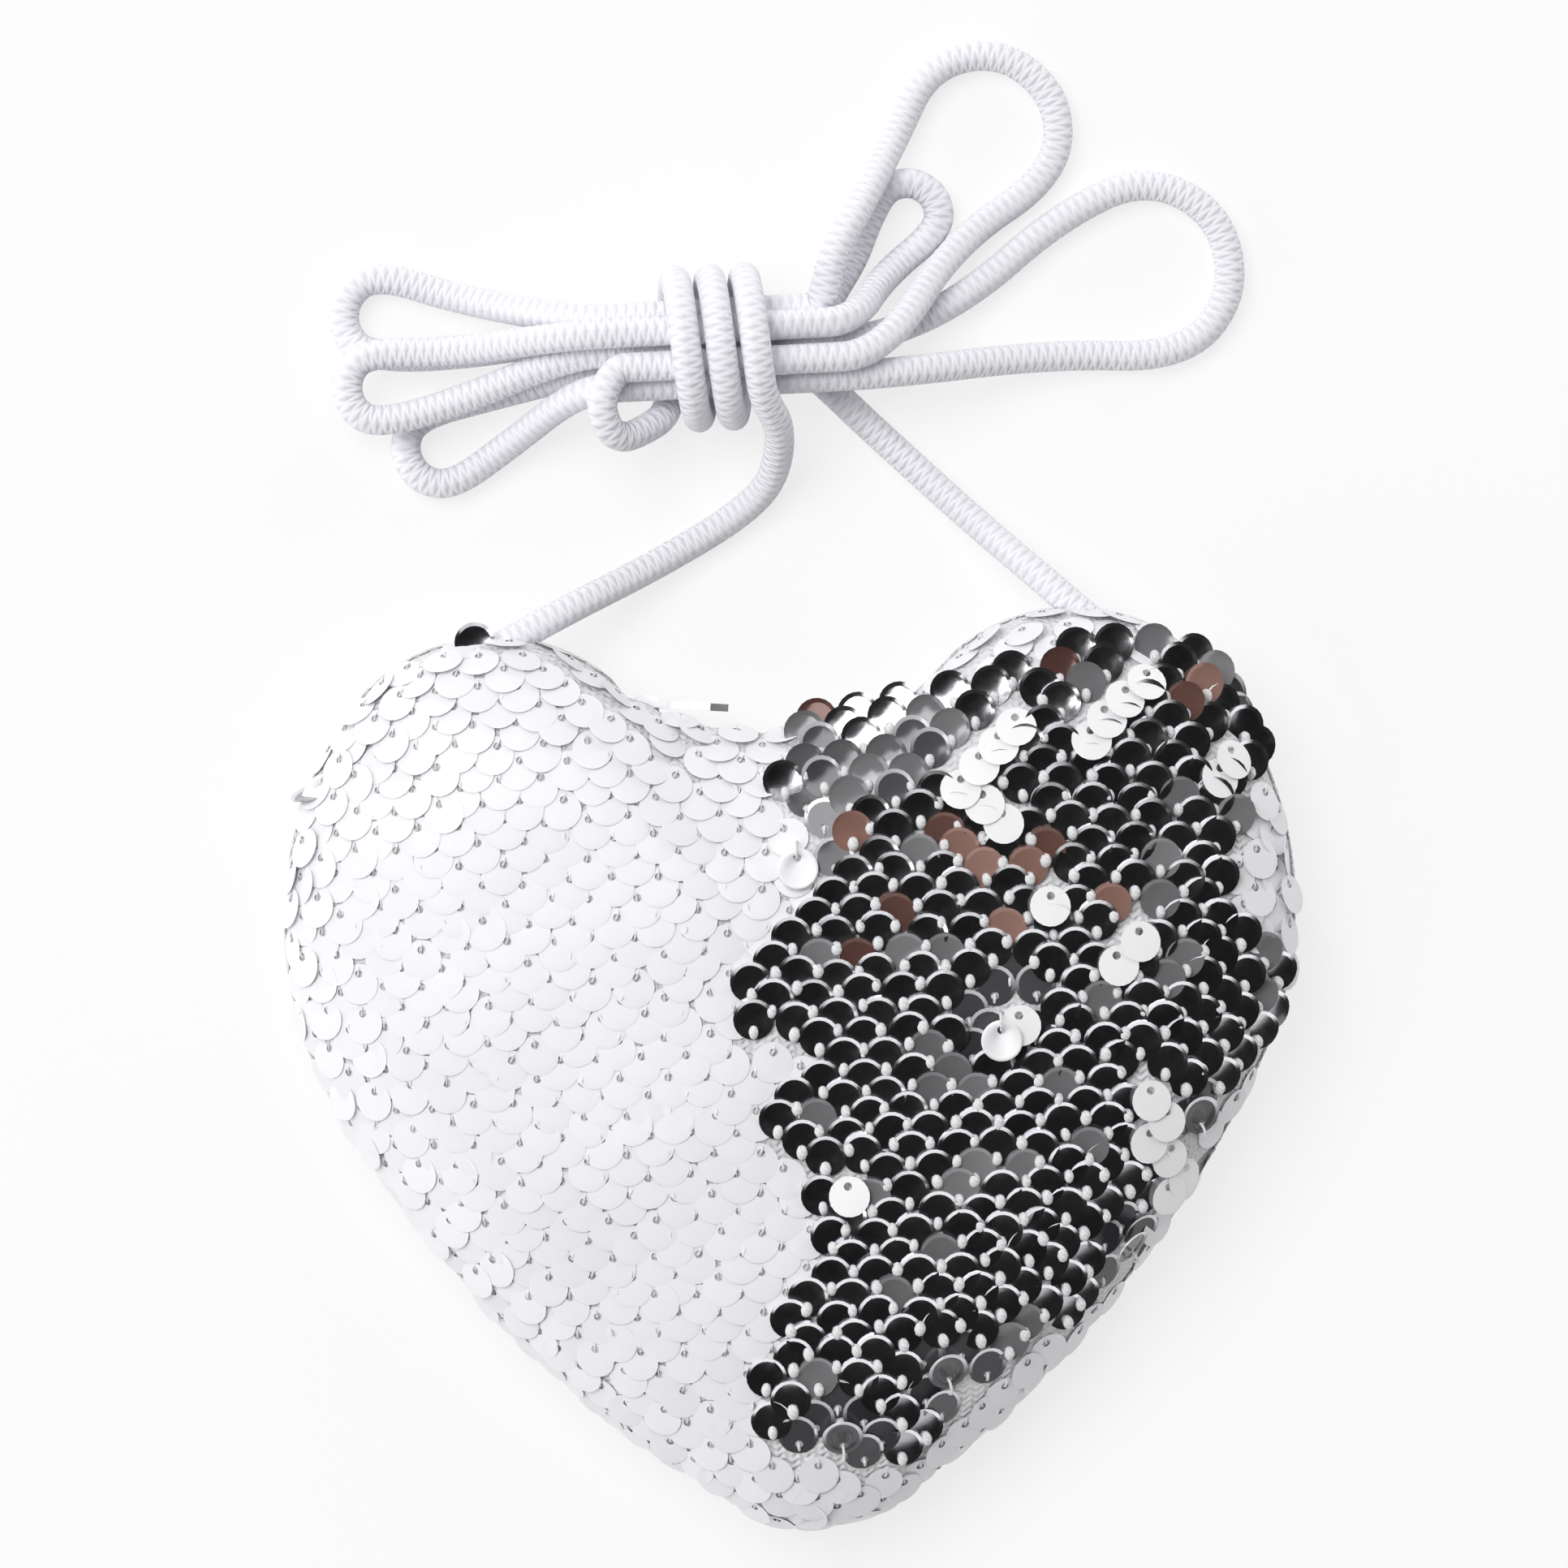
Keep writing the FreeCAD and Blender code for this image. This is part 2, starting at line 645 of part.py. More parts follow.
def wrap_station(share):
    """Place and heading along the wrap, a share of the way from its start to its end."""
    turn = math.radians(wrap_end_angle - wrap_start_angle)
    a = math.radians(wrap_start_angle) + turn * share
    advance = (wrap_right - wrap_left) / turn
    place = V(wrap_left + (wrap_right - wrap_left) * share, waist_y + wrap_radius * math.cos(a),
              waist_z + wrap_radius * math.sin(a))
    return place, unit(V(advance, -wrap_radius * math.sin(a), wrap_radius * math.cos(a)))


def hank_stations():
    stations = [(waist_point("near_low", right_run_start), RIGHT * -1)]
    stations.append((waist_point("near_low", waist_left), RIGHT * -1))
    for bight in bights:
        stations += bight_stations(*bight)
    stations.append((waist_point("near_top", waist_left), RIGHT * -1))
    hook = V(hook_place[0], waist_y + hook_place[1], waist_z + hook_place[2])
    stations.append((hook, unit(V(*hook_heading))))
    stations += [wrap_station(k / wrap_stations) for k in range(wrap_stations + 1)]
    return stations


def arc_edge(start, corner, end):
    """Arc that leaves along start to corner and arrives along corner to end."""
    u = unit(corner - start)
    w = unit(end - corner)
    turn = u.getAngle(w)
    radius = (corner - start).Length / math.tan(turn / 2)
    inward = unit(w - u * u.dot(w))
    centre = start + inward * radius
    middle = centre - inward * (radius * math.cos(turn / 2)) + u * (radius * math.sin(turn / 2))
    return Part.Arc(start, middle, end).toShape(), radius


def biarc_edges(p0, t0, p1, t1):
    """Two tangent arcs from one station to the next, or a straight run between two in line."""
    chord = p1 - p0
    if chord.Length < cord_lift:
        return [], []
    if unit(chord).dot(t0) > 1 - 1e-9 and t0.dot(t1) > 1 - 1e-9:
        return [Part.makeLine(p0, p1)], []
    a = 2 * (t0.dot(t1) - 1)
    b = -2 * chord.dot(t0 + t1)
    c = chord.dot(chord)
    reach = -c / b if abs(a) < 1e-9 else (-b - math.sqrt(b * b - 4 * a * c)) / (2 * a)
    q0 = p0 + t0 * reach
    q1 = p1 - t1 * reach
    joint = (q0 + q1) * 0.5
    first, r0 = arc_edge(p0, q0, joint)
    second, r1 = arc_edge(joint, q1, p1)
    return [first, second], [r0, r1]


def rounded_route(points):
    """Straight runs joined by the largest tangent arcs that both runs allow."""
    runs = [(b - a).Length for a, b in zip(points, points[1:])]
    edges = []
    radii = []
    last = points[0]
    for i in range(1, len(points) - 1):
        u = unit(points[i] - points[i - 1])
        w = unit(points[i + 1] - points[i])
        cut = fillet_share * min(runs[i - 1], runs[i])
        edges.append(Part.makeLine(last, points[i] - u * cut))
        last = points[i] + w * cut
        edge, radius = arc_edge(points[i] - u * cut, points[i], last)
        edges.append(edge)
        radii.append(radius)
    edges.append(Part.makeLine(last, points[-1]))
    return edges, radii


def cord_tube(name, edges, radii):
    """Cord along a path, with its length, tightest bend and volume against section times length."""
    first = edges[0]
    start = first.valueAt(first.FirstParameter)
    along = first.tangentAt(first.FirstParameter)
    solid = tube(edges, start, along, cord_radius, cord_sides)
    length = sum(e.Length for e in edges)
    section = cord_sides / 2 * cord_radius ** 2 * math.sin(2 * math.pi / cord_sides)
    print("cord", name, "length %.1f" % length, "volume share %.3f" % (solid.Volume / (section * length)),
          "radii", [round(r, 1) for r in sorted(radii)[:8]])
    parts[name] = solid
    return length


stations = hank_stations()
hank_edges = []
hank_radii = []
for (p0, t0), (p1, t1) in zip(stations, stations[1:]):
    edges, radii = biarc_edges(p0, t0, p1, t1)
    hank_edges += edges
    hank_radii += radii

wrap_end, wrap_heading = stations[-1]
left_points = [wrap_end, wrap_end + wrap_heading * left_run_lead] + [V(*p) for p in left_run_route]
hank_start = stations[0][0]
right_points = [hank_start, hank_start + RIGHT * right_run_lead] + [V(*p) for p in right_run_route]
left_edges, left_radii = rounded_route(left_points)
right_edges, right_radii = rounded_route(right_points)
cord_length = cord_tube("cord_hank", hank_edges, hank_radii)
cord_length += cord_tube("cord_left_run", left_edges, left_radii)
cord_length += cord_tube("cord_right_run", right_edges, right_radii)
print("cord length in all %.1f" % cord_length)


def least_self_gap(edges):
    """Least gap between stretches of the cord that are several diameters apart along it."""
    samples = []
    travelled = 0.0
    for edge in edges:
        count = max(2, int(edge.Length / cord_radius))
        points = edge.discretize(count)
        samples += [(travelled + edge.Length * k / (count - 1), p) for k, p in enumerate(points)]
        travelled += edge.Length
    apart = 3 * cord_diameter
    pairs = ((p, q, t - s) for i, (s, p) in enumerate(samples) for t, q in samples[i + 1:])
    return min((p - q).Length for p, q, along in pairs if along > apart)


print("least gap of the hank to itself %.2f" % (least_self_gap(hank_edges) - cord_diameter))


def whipping(route):
    """Thread whipping round the cord's end, inside the seam."""
    inner = V(*route[-1])
    along = unit(V(*route[-2]) - inner) * whipping_length
    wall_in = cord_radius + whipping_gap
    outer = ring_prism(inner, along, wall_in + whipping_wall, whipping_sides)
    return outer.cut(ring_prism(inner, along, wall_in, whipping_sides))


parts["cord_whipping_left"] = whipping(left_run_route)
parts["cord_whipping_right"] = whipping(right_run_route)

os.makedirs("parts", exist_ok=True)
for name, shape in parts.items():
    shape.exportStep("parts/%s.step" % name)
    print(name, len(shape.Solids), "solids", "%.1f mm3" % shape.Volume, shape.isValid())
pull_pivot = zip_place(Part.Vertex(pivot), slider_rest_angle).Point
print("zip axis", round(dip_axis_y, 4), "travel", round(-2 * slider_rest_angle, 3))
print("pull pivot", [round(c, 4) for c in pull_pivot])
print("heart", round(2 * half_width, 2), "by", round(heart_height, 2))
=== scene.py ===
import json
import math
import random
import bpy
import numpy as np
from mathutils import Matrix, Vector
from mathutils.bvhtree import BVHTree


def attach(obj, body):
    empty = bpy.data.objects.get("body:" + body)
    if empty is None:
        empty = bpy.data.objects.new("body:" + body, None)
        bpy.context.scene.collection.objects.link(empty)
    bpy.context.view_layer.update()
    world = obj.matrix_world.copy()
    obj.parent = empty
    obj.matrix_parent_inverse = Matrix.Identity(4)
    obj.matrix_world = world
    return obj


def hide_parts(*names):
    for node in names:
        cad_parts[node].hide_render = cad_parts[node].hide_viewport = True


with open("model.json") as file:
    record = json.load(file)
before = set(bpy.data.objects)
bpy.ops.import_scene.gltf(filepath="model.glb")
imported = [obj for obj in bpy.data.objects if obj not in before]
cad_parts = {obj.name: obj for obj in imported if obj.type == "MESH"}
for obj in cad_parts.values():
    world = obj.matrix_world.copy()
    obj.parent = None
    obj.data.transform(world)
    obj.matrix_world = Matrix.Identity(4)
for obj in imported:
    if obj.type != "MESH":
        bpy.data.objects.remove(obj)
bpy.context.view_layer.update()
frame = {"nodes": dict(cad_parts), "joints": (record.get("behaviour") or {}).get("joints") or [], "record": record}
nodes = frame["nodes"]

# The bag's two halves: hearts of white knitted cloth with a thin wadding, sewn together along the
# side seam and turned right side out. The front stands in a soft dome and the back lies flat; both
# edges fold in along the dip, where the zip closes the mouth.

MM = 0.001
DIP_RADIUS = 36.0
DIP_ANGLE = 37.6
LOBE_RADIUS = 22.4
# Each arc: its radius, its bend, the heading at its end and its steps.
HEART_ARCS = (
    (DIP_RADIUS, 1, DIP_ANGLE, 22),
    (LOBE_RADIUS, -1, -54.3, 30),
    (45.4, -1, -118.2, 32),
    (140.6, -1, -147.086, 40),
    (17.4, -1, -180.0, 10),
)
LOBE_TOP = 55.83
CREST = (DIP_RADIUS + LOBE_RADIUS) * (1 - math.cos(math.radians(DIP_ANGLE)))
CROWN_Y = 6.0
SEAM_Z = 10.0
FRONT_RISE = 14.6
FRONT_FULLNESS = 3.7
FRONT_INSET = 0.4
FRONT_ROW_COUNT = 40
FRONT_LAST = 0.985
FRONT_RELIEF = (0.28, 0.35)
BACK_FLAT = 0.74
BACK_CURVE = (1.8, 1.4)
BACK_ROW_COUNT = 22
BACK_RELIEF = (0.32, 0.3)
BACK_RESTING = 0.6
BACK_PRESSED = 0.3
BACK_UNDERSIDE = (0.68, 0.58, 0.46, 0.34, 0.22, 0.1)
BACK_UNDERSIDE_Z = 0.06
MOUTH_ANGLE = 36.4
MOUTH_LIP = 4.4
LIP_CURVE = (14, 0.3)
DIP_SLACK = 0.1
SEAM_LIP = 0.12
HEM_FOLDS = (4.3, 2.6, 1.1, 0.35)
HEM_AT_SEAM = 0.35
HEM_SLOPE = 0.05
HEM_WIDTH = 4.0
POLE_INWARD = 60.0
PUCKER_FADE = 6.0
PUCKER_PITCH = 1.05
LUMP_FADE = 12
CLOTH_WALL = 0.7
UV_UNIT = 10.0


def heart_plan():
    """The seam from the dip, down the right side and up the left: points, folds, headings and run."""
    heading = 0.0
    plan = [(0.0, 0.0, 0.0)]
    for radius, bend, end, count in HEART_ARCS:
        headings = np.linspace(heading, end, count + 1)
        for a, b in zip(np.radians(headings), np.radians(headings[1:])):
            x = plan[-1][0] + bend * radius * (math.sin(b) - math.sin(a))
            y = plan[-1][1] + bend * radius * (math.cos(a) - math.cos(b))
            plan.append((x, y, math.degrees(b)))
        heading = end
    right = np.array(plan)
    right[-1, 0] = 0
    left = right[-2:0:-1] * (-1, 1, -1)
    ring = np.vstack([right, left])
    turn = np.radians(ring[:, 2])
    steps = np.linalg.norm(np.diff(np.vstack([ring, ring[:1]])[:, :2], axis=0), axis=1)
    fold = np.stack([np.sin(turn), 1 - np.cos(turn)], axis=1)
    return ring[:, :2], fold, ring[:, 2], np.concatenate([[0], np.cumsum(steps)])


PLAN, PLAN_FOLD, PLAN_HEADING, SEAM_RUN = heart_plan()
dip_length = DIP_RADIUS * math.radians(DIP_ANGLE)
from_dip = np.minimum(SEAM_RUN[:-1], SEAM_RUN[-1] - SEAM_RUN[:-1])
in_mouth = (np.abs(PLAN_HEADING) < MOUTH_ANGLE) & (from_dip < dip_length + DIP_SLACK)
mouth_share = np.minimum(1, np.abs(PLAN_HEADING) / MOUTH_ANGLE)
LIP = np.where(in_mouth, MOUTH_LIP * (1 - mouth_share ** LIP_CURVE[0]) ** LIP_CURVE[1], 0.0)


def heart_row(size, inset, z):
    """One closed row of points round the bag; size and height may differ from place to place."""
    size = np.broadcast_to(size, LIP.shape)
    x = PLAN[:, 0] * size + PLAN_FOLD[:, 0] * inset
    y = (PLAN[:, 1] - CREST + LOBE_TOP) * size + CROWN_Y * (1 - size) + (PLAN_FOLD[:, 1] - 1) * inset
    return np.stack([x, y, np.broadcast_to(z, LIP.shape)], axis=1) * MM


def front_size(level, fullness):
    """Width of the front at a level from 0, the seam, to 1, the crown."""
    return (1 - level ** 2) ** (1 / fullness)


def back_size(level):
    """Width of the back at a level from 0, the seam, to 1, the table."""
    narrowing = (1 - np.minimum(level, 1) ** BACK_CURVE[0]) ** (1 / BACK_CURVE[1])
    return BACK_FLAT + (1 - BACK_FLAT) * narrowing


def linked(name, mesh):
    """The mesh as a smooth object of the scene."""
    mesh.polygons.foreach_set("use_smooth", [True] * len(mesh.polygons))
    mesh.update()
    piece = bpy.data.objects.new(name, mesh)
    bpy.context.scene.collection.objects.link(piece)
    return piece


def lofted(name, rows, pole=False, caps=False, flip=False):
    """Piece through closed rows of points, with its UVs along and across the rows."""
    rows = np.asarray(rows, float)
    count, width = rows.shape[:2]
    points = rows.reshape(-1, 3)
    across = np.linalg.norm(np.diff(np.concatenate([rows, rows[:, :1]], axis=1), axis=1), axis=2)
    run = np.concatenate([[0], np.cumsum(across.mean(axis=0))]) / (UV_UNIT * MM)
    steps = np.linalg.norm(np.diff(rows, axis=0), axis=2).mean(axis=1)
    rise = np.concatenate([[0], np.cumsum(steps)]) / (UV_UNIT * MM)
    last = (count - 1) * width
    faces = []
    coords = []
    for r in range(count - 1):
        for c in range(width):
            d = (c + 1) % width
            quad = [(r, c, c), (r + 1, c, c), (r + 1, d, c + 1), (r, d, c + 1)]
            quad = quad[::-1] if flip else quad
            faces.append([i * width + j for i, j, k in quad])
            coords += [(run[k], rise[i]) for i, j, k in quad]
    if pole:
        points = np.vstack([points, rows[-1].mean(axis=0)])
        for c in range(width):
            tri = [(last + c, c), (count * width, c), (last + (c + 1) % width, c + 1)]
            tri = tri[::-1] if flip else tri
            faces.append([i for i, k in tri])
            coords += [(run[k], rise[-1]) for i, k in tri]
    if caps:
        for first, turned in ((0, flip), (last, not flip)):
            ring = list(range(first, first + width))
            faces.append(ring[::-1] if turned else ring)
            coords += [(0.0, 0.0)] * width
    mesh = bpy.data.meshes.new(name)
    mesh.from_pydata(points.tolist(), [], faces)
    layer = mesh.uv_layers.new(name="cloth")
    layer.data.foreach_set("uv", np.array(coords, np.float32).ravel())
    return linked(name, mesh)


def straight_grain(piece, rows):
    """UVs of a round piece as its cloth was cut: each point where it lies with the cloth smoothed flat."""
    rows = np.asarray(rows, float)
    pole = rows[-1].mean(axis=0)
    outward = np.concatenate([np.broadcast_to(pole, rows[:1].shape), rows[::-1]])
    reach = np.cumsum(np.linalg.norm(np.diff(outward, axis=0), axis=2), axis=0)[::-1]
    way = (rows - pole)[:, :, :2]
    way = way / np.linalg.norm(way, axis=2)[:, :, None]
    flat = np.vstack([(way * reach[:, :, None]).reshape(-1, 2), [(0.0, 0.0)]]) / (UV_UNIT * MM)
    corners = np.zeros(len(piece.data.loops), np.int32)
    piece.data.loops.foreach_get("vertex_index", corners)
    piece.data.uv_layers["cloth"].data.foreach_set("uv", flat[corners].astype(np.float32).ravel())


def swell(piece, heights):
    """Move each point of a piece along its normal."""
    mesh = piece.data
    normals = np.zeros(len(mesh.vertices) * 3, np.float32)
    mesh.vertex_normals.foreach_get("vector", normals)
    places = np.zeros_like(normals)
    mesh.vertices.foreach_get("co", places)
    places = places.reshape(-1, 3) + normals.reshape(-1, 3) * np.asarray(heights)[:, None] * MM
    mesh.vertices.foreach_set("co", places.astype(np.float32).ravel())
    mesh.update()


def thickness(piece, wall):
    """Give a sheet its wall, on the inner side."""
    shell = piece.modifiers.new("wall", "SOLIDIFY")
    shell.thickness = wall * MM
    shell.offset = -1
    return piece


front_rows = []
front_lip = np.maximum(LIP, SEAM_LIP) / FRONT_RISE
for fold in HEM_FOLDS:
    inset = FRONT_INSET + np.where(LIP > 0, fold, fold * HEM_AT_SEAM)
    z = SEAM_Z + front_lip * FRONT_RISE + HEM_SLOPE * fold
    front_rows.append(heart_row(front_size(front_lip, FRONT_FULLNESS), inset, z))
for share in np.linspace(0, FRONT_LAST, FRONT_ROW_COUNT):
    start = np.arcsin(front_lip)
    level = np.sin(start + (math.pi / 2 - start) * share)
    size = front_size(level, FRONT_FULLNESS)
    front_rows.append(heart_row(size, FRONT_INSET, SEAM_Z + level * FRONT_RISE))

back_rows = []
back_lip = np.maximum(LIP, SEAM_LIP) / SEAM_Z
for fold in HEM_FOLDS:
    inset = np.where(LIP > 0, fold, fold * HEM_AT_SEAM)
    back_rows.append(heart_row(back_size(back_lip), inset, SEAM_Z - back_lip * SEAM_Z - HEM_SLOPE * fold))
for share in np.linspace(0, 1, BACK_ROW_COUNT):
    level = back_lip + (1 - back_lip) * math.sin(share * math.pi / 2)
    back_rows.append(heart_row(back_size(level), 0.0, SEAM_Z - level * SEAM_Z))
for share in BACK_UNDERSIDE:
    back_rows.append(heart_row(share, 0.0, BACK_UNDERSIDE_Z))

front_cloth = lofted("front_cloth", front_rows, pole=True)
back_cloth = lofted("back_cloth", back_rows, pole=True, flip=True)
straight_grain(front_cloth, front_rows)
straight_grain(back_cloth, back_rows)


def cloth_lumps(piece, rows, pucker_depth, lump_depth):
    """Puckers that run in from the seam, and soft lumps of the wadding further in."""
    run = np.append(np.tile(SEAM_RUN[:-1], len(rows)), 0.0)
    places = np.array([v.co for v in piece.data.vertices]) / MM
    step = np.linalg.norm(np.diff(np.asarray(rows), axis=0), axis=2) / MM
    inward = np.vstack([np.zeros(len(LIP)), np.cumsum(step, axis=0)])
    inward = np.append(inward.ravel(), POLE_INWARD) - HEM_WIDTH
    waves = np.sin(run / PUCKER_PITCH + 1.4 * np.sin(run / 7.3))
    pucker = np.exp(-np.maximum(inward, 0) / PUCKER_FADE) * waves
    pucker *= np.where(inward > 0, 1, 0)
    x = places[:, 0]
    y = places[:, 1]
    lump = np.sin(x / 13 + 0.7) * np.sin(y / 11 - 0.4)
    lump = lump + 0.6 * np.sin(x / 6.1 - y / 8.3) * np.sin(y / 7.7 + x / 15)
    return pucker_depth * pucker + lump_depth * lump * np.minimum(1, np.maximum(inward, 0) / LUMP_FADE)


swell(front_cloth, cloth_lumps(front_cloth, front_rows, *FRONT_RELIEF))
back_swell = cloth_lumps(back_cloth, back_rows, *BACK_RELIEF)
back_height = np.array([v.co.z for v in back_cloth.data.vertices]) / MM
pressed_swell = np.minimum(back_swell, 0) * BACK_PRESSED
swell(back_cloth, np.where(back_height < BACK_RESTING, pressed_swell, back_swell))
thickness(front_cloth, CLOTH_WALL)
thickness(back_cloth, CLOTH_WALL)


class Ink:
    """One output in a material's nodes, so that shader maths reads as plain expressions."""

    def __init__(self, tree, out=None):
        self.tree = tree
        self.out = out

    def node(self, kind, settings=(), sockets=(), out=0):
        """A new node: its settings first, then its sockets' values or links."""
        made = self.tree.nodes.new(kind)
        for key, value in dict(settings).items():
            if key == "stops":
                while len(made.color_ramp.elements) < len(value):
                    made.color_ramp.elements.new(1.0)
                for stop, (place, colour) in zip(made.color_ramp.elements, value):
                    stop.position = place
                    stop.color = (*colour, 1.0)
            else:
                setattr(made, key, value)
        for key, value in dict(sockets).items():
            if isinstance(value, Ink):
                self.tree.links.new(value.out, made.inputs[key])
            else:
                made.inputs[key].default_value = value
        return Ink(self.tree, made.outputs[out] if made.outputs else None)

    def maths(self, operation, a, b=0.0):
        return self.node("ShaderNodeMath", {"operation": operation}, {0: a, 1: b})

    def __add__(self, other):
        return self.maths("ADD", self, other)

    def __radd__(self, other):
        return self.maths("ADD", other, self)

    def __sub__(self, other):
        return self.maths("SUBTRACT", self, other)

    def __rsub__(self, other):
        return self.maths("SUBTRACT", other, self)

    def __mul__(self, other):
        return self.maths("MULTIPLY", self, other)

    def __rmul__(self, other):
        return self.maths("MULTIPLY", other, self)


def new_finish(name):
    """A material with no nodes yet, and the ink to write them with."""
    finish = bpy.data.materials.new(name)
    finish.use_nodes = True
    finish.node_tree.nodes.clear()
    return finish, Ink(finish.node_tree)


def speckle(ink, scale, detail):
    """Noise in the piece's own space, in grains per metre."""
    place = ink.node("ShaderNodeTexCoord", out="Object")
    return ink.node("ShaderNodeTexNoise", {}, {"Vector": place, "Scale": scale, "Detail": detail})


def tinted(ink, share, low, high):
    """Colour between two, by a share that differs over the surface."""
    return ink.node("ShaderNodeMix", {"data_type": "RGBA"}, {0: share, 6: (*low, 1), 7: (*high, 1)}, 2)


def raised(ink, height, depth):
    """Relief of a height in shares of a depth in millimetres."""
    return ink.node("ShaderNodeBump", {}, {"Strength": 1.0, "Distance": depth * MM, "Height": height})


def surface(ink, **sockets):
    """The finish's shader, with its sockets by name."""
    values = {key.replace("_", " "): value for key, value in sockets.items()}
    body = ink.node("ShaderNodeBsdfPrincipled", {}, values)
    ink.node("ShaderNodeOutputMaterial", {}, {"Surface": body})


def cloth_axes(ink):
    """Distance along and across a piece of cloth, in millimetres."""
    split = ink.node("ShaderNodeSeparateXYZ", {}, {0: ink.node("ShaderNodeUVMap", {"uv_map": "cloth"})})
    return split * UV_UNIT, Ink(ink.tree, split.out.node.outputs[1]) * UV_UNIT


def knit_finish(name, low, high, loop_pitch, relief):
    """White knit: staggered loops in columns, with a little fuzz and unevenness."""
    finish, ink = new_finish(name)
    along, across = cloth_axes(ink)
    column = ink.maths("SINE", along * (math.pi / loop_pitch))
    slant = across * (2 * math.pi / loop_pitch) + column * 1.8
    loops = ink.maths("SINE", slant) * 0.5 + column * column * 0.5
    fuzz = speckle(ink, 900.0, 3.0)
    wash = speckle(ink, 45.0, 2.0)
    share = loops * 0.3 + fuzz * 0.3 + wash * 0.4
    surface(ink, Base_Color=tinted(ink, share, low, high), Roughness=0.82 + fuzz * 0.12, Sheen_Weight=0.15,
            Normal=raised(ink, loops * 0.7 + fuzz * 0.5, relief))
    return finish


cloth_knit = knit_finish("white_knit", low=(0.74, 0.74, 0.76), high=(0.92, 0.92, 0.93), loop_pitch=0.9,
                         relief=0.22)
for piece, node in ((front_cloth, "front_panel"), (back_cloth, "back_panel")):
    piece.data.materials.append(cloth_knit)
    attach(piece, "purse")
    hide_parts(node)

# Seam stitches: white sewing thread, a stitch about every 2.5 mm, drawn a little into the cloth all
# along the side seam except across the mouth.

STITCH_PITCH = 2.5
STITCH_LENGTH = 1.7
STITCH_WIDTH = 0.2
STITCH_TAPER = np.array([0.35, 0.9, 1.0, 0.9, 0.35])
STITCH_INSET = 0.15


def tube_rows(points, radii, sides):
    """Rings round a line of points, turned as little as possible from one to the next."""
    points = np.asarray(points, float)
    ahead = np.gradient(points, axis=0)
    ahead /= np.linalg.norm(ahead, axis=1)[:, None]
    side = np.cross(ahead[0], (0.0, 0.0, 1.0))
    if np.linalg.norm(side) < 0.2:
        side = np.cross(ahead[0], (1.0, 0.0, 0.0))
    turns = np.linspace(0, 2 * math.pi, sides, endpoint=False)
    rows = []
    for k in range(len(points)):
        side = side - ahead[k] * (side @ ahead[k])
        side /= np.linalg.norm(side)
        up = np.cross(side, ahead[k])
        rows.append(points[k] + radii[k] * (np.cos(turns)[:, None] * side + np.sin(turns)[:, None] * up))
    return rows


def joined(name, groups, caps=True):
    """One piece of many like ones, each given by its rows of points."""
    points = []
    faces = []
    for rows in groups:
        rows = np.asarray(rows)
        count, width = rows.shape[:2]
        first = sum(len(p) for p in points)
        points.append(rows.reshape(-1, 3))
        for r in range(count - 1):
            row = first + r * width
            for c in range(width):
                d = (c + 1) % width
                faces.append([row + c, row + width + c, row + width + d, row + d])
        if caps:
            ring = list(range(first, first + width))
            faces.append(ring)
            faces.append([(count - 1) * width + i for i in reversed(ring)])
    mesh = bpy.data.meshes.new(name)
    mesh.from_pydata(np.vstack(points).tolist(), [], faces)
    return linked(name, mesh)


seam_line = heart_row(1.0, STITCH_INSET, SEAM_Z)
seam_loop = np.vstack([seam_line, seam_line[:1]])
stitches = []
for k in range(int(SEAM_RUN[-1] / STITCH_PITCH)):
    start = k * STITCH_PITCH
    if min(start, SEAM_RUN[-1] - start) < DIP_RADIUS * math.radians(MOUTH_ANGLE) + 1:
        continue
    runs = start + STITCH_LENGTH * np.linspace(0, 1, len(STITCH_TAPER))
    line = np.stack([np.interp(runs, SEAM_RUN, seam_loop[:, axis]) for axis in range(3)], axis=1)
    stitches.append(tube_rows(line, STITCH_WIDTH * MM * STITCH_TAPER, 6))
seam_stitches = joined("seam_stitches", stitches)


def thread_finish(name, low, high):
    """Twisted sewing thread: fine slanted ply marks and a dull sheen."""
    finish, ink = new_finish(name)
    place = ink.node("ShaderNodeTexCoord", out="Object")
    ply = ink.node("ShaderNodeTexWave", {"bands_direction": "DIAGONAL"},
                   {"Vector": place, "Scale": 900.0, "Distortion": 2.0}, 1)
    fuzz = speckle(ink, 1500.0, 2.0)
    surface(ink, Base_Color=tinted(ink, ply * 0.7 + fuzz * 0.3, low, high), Roughness=0.6 + fuzz * 0.2,
            Normal=raised(ink, ply, 0.05))
    return finish


white_thread = thread_finish("white_thread", low=(0.7, 0.7, 0.72), high=(0.92, 0.92, 0.93))
seam_stitches.data.materials.append(white_thread)
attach(seam_stitches, "purse")

# Linings: two thin hearts of white woven cloth that hang loose inside the bag, sewn in at the seam
# and along the zip.

LINING_WALL = 0.3
LINING_LIP = 1.22
LINING_SEAM_LIP = 0.3
FRONT_LINING_INSET = 2.5
FRONT_LINING_DROP = 2.6
FRONT_LINING_FULLNESS = 3.0
FRONT_LINING_LAST = 0.97
FRONT_LINING_ROW_COUNT = 14
BACK_LINING_INSET = 1.7
BACK_LINING_Z = 1.4
BACK_LINING_ROW_COUNT = 10
BACK_LINING_UNDERSIDE = (0.5, 0.25)

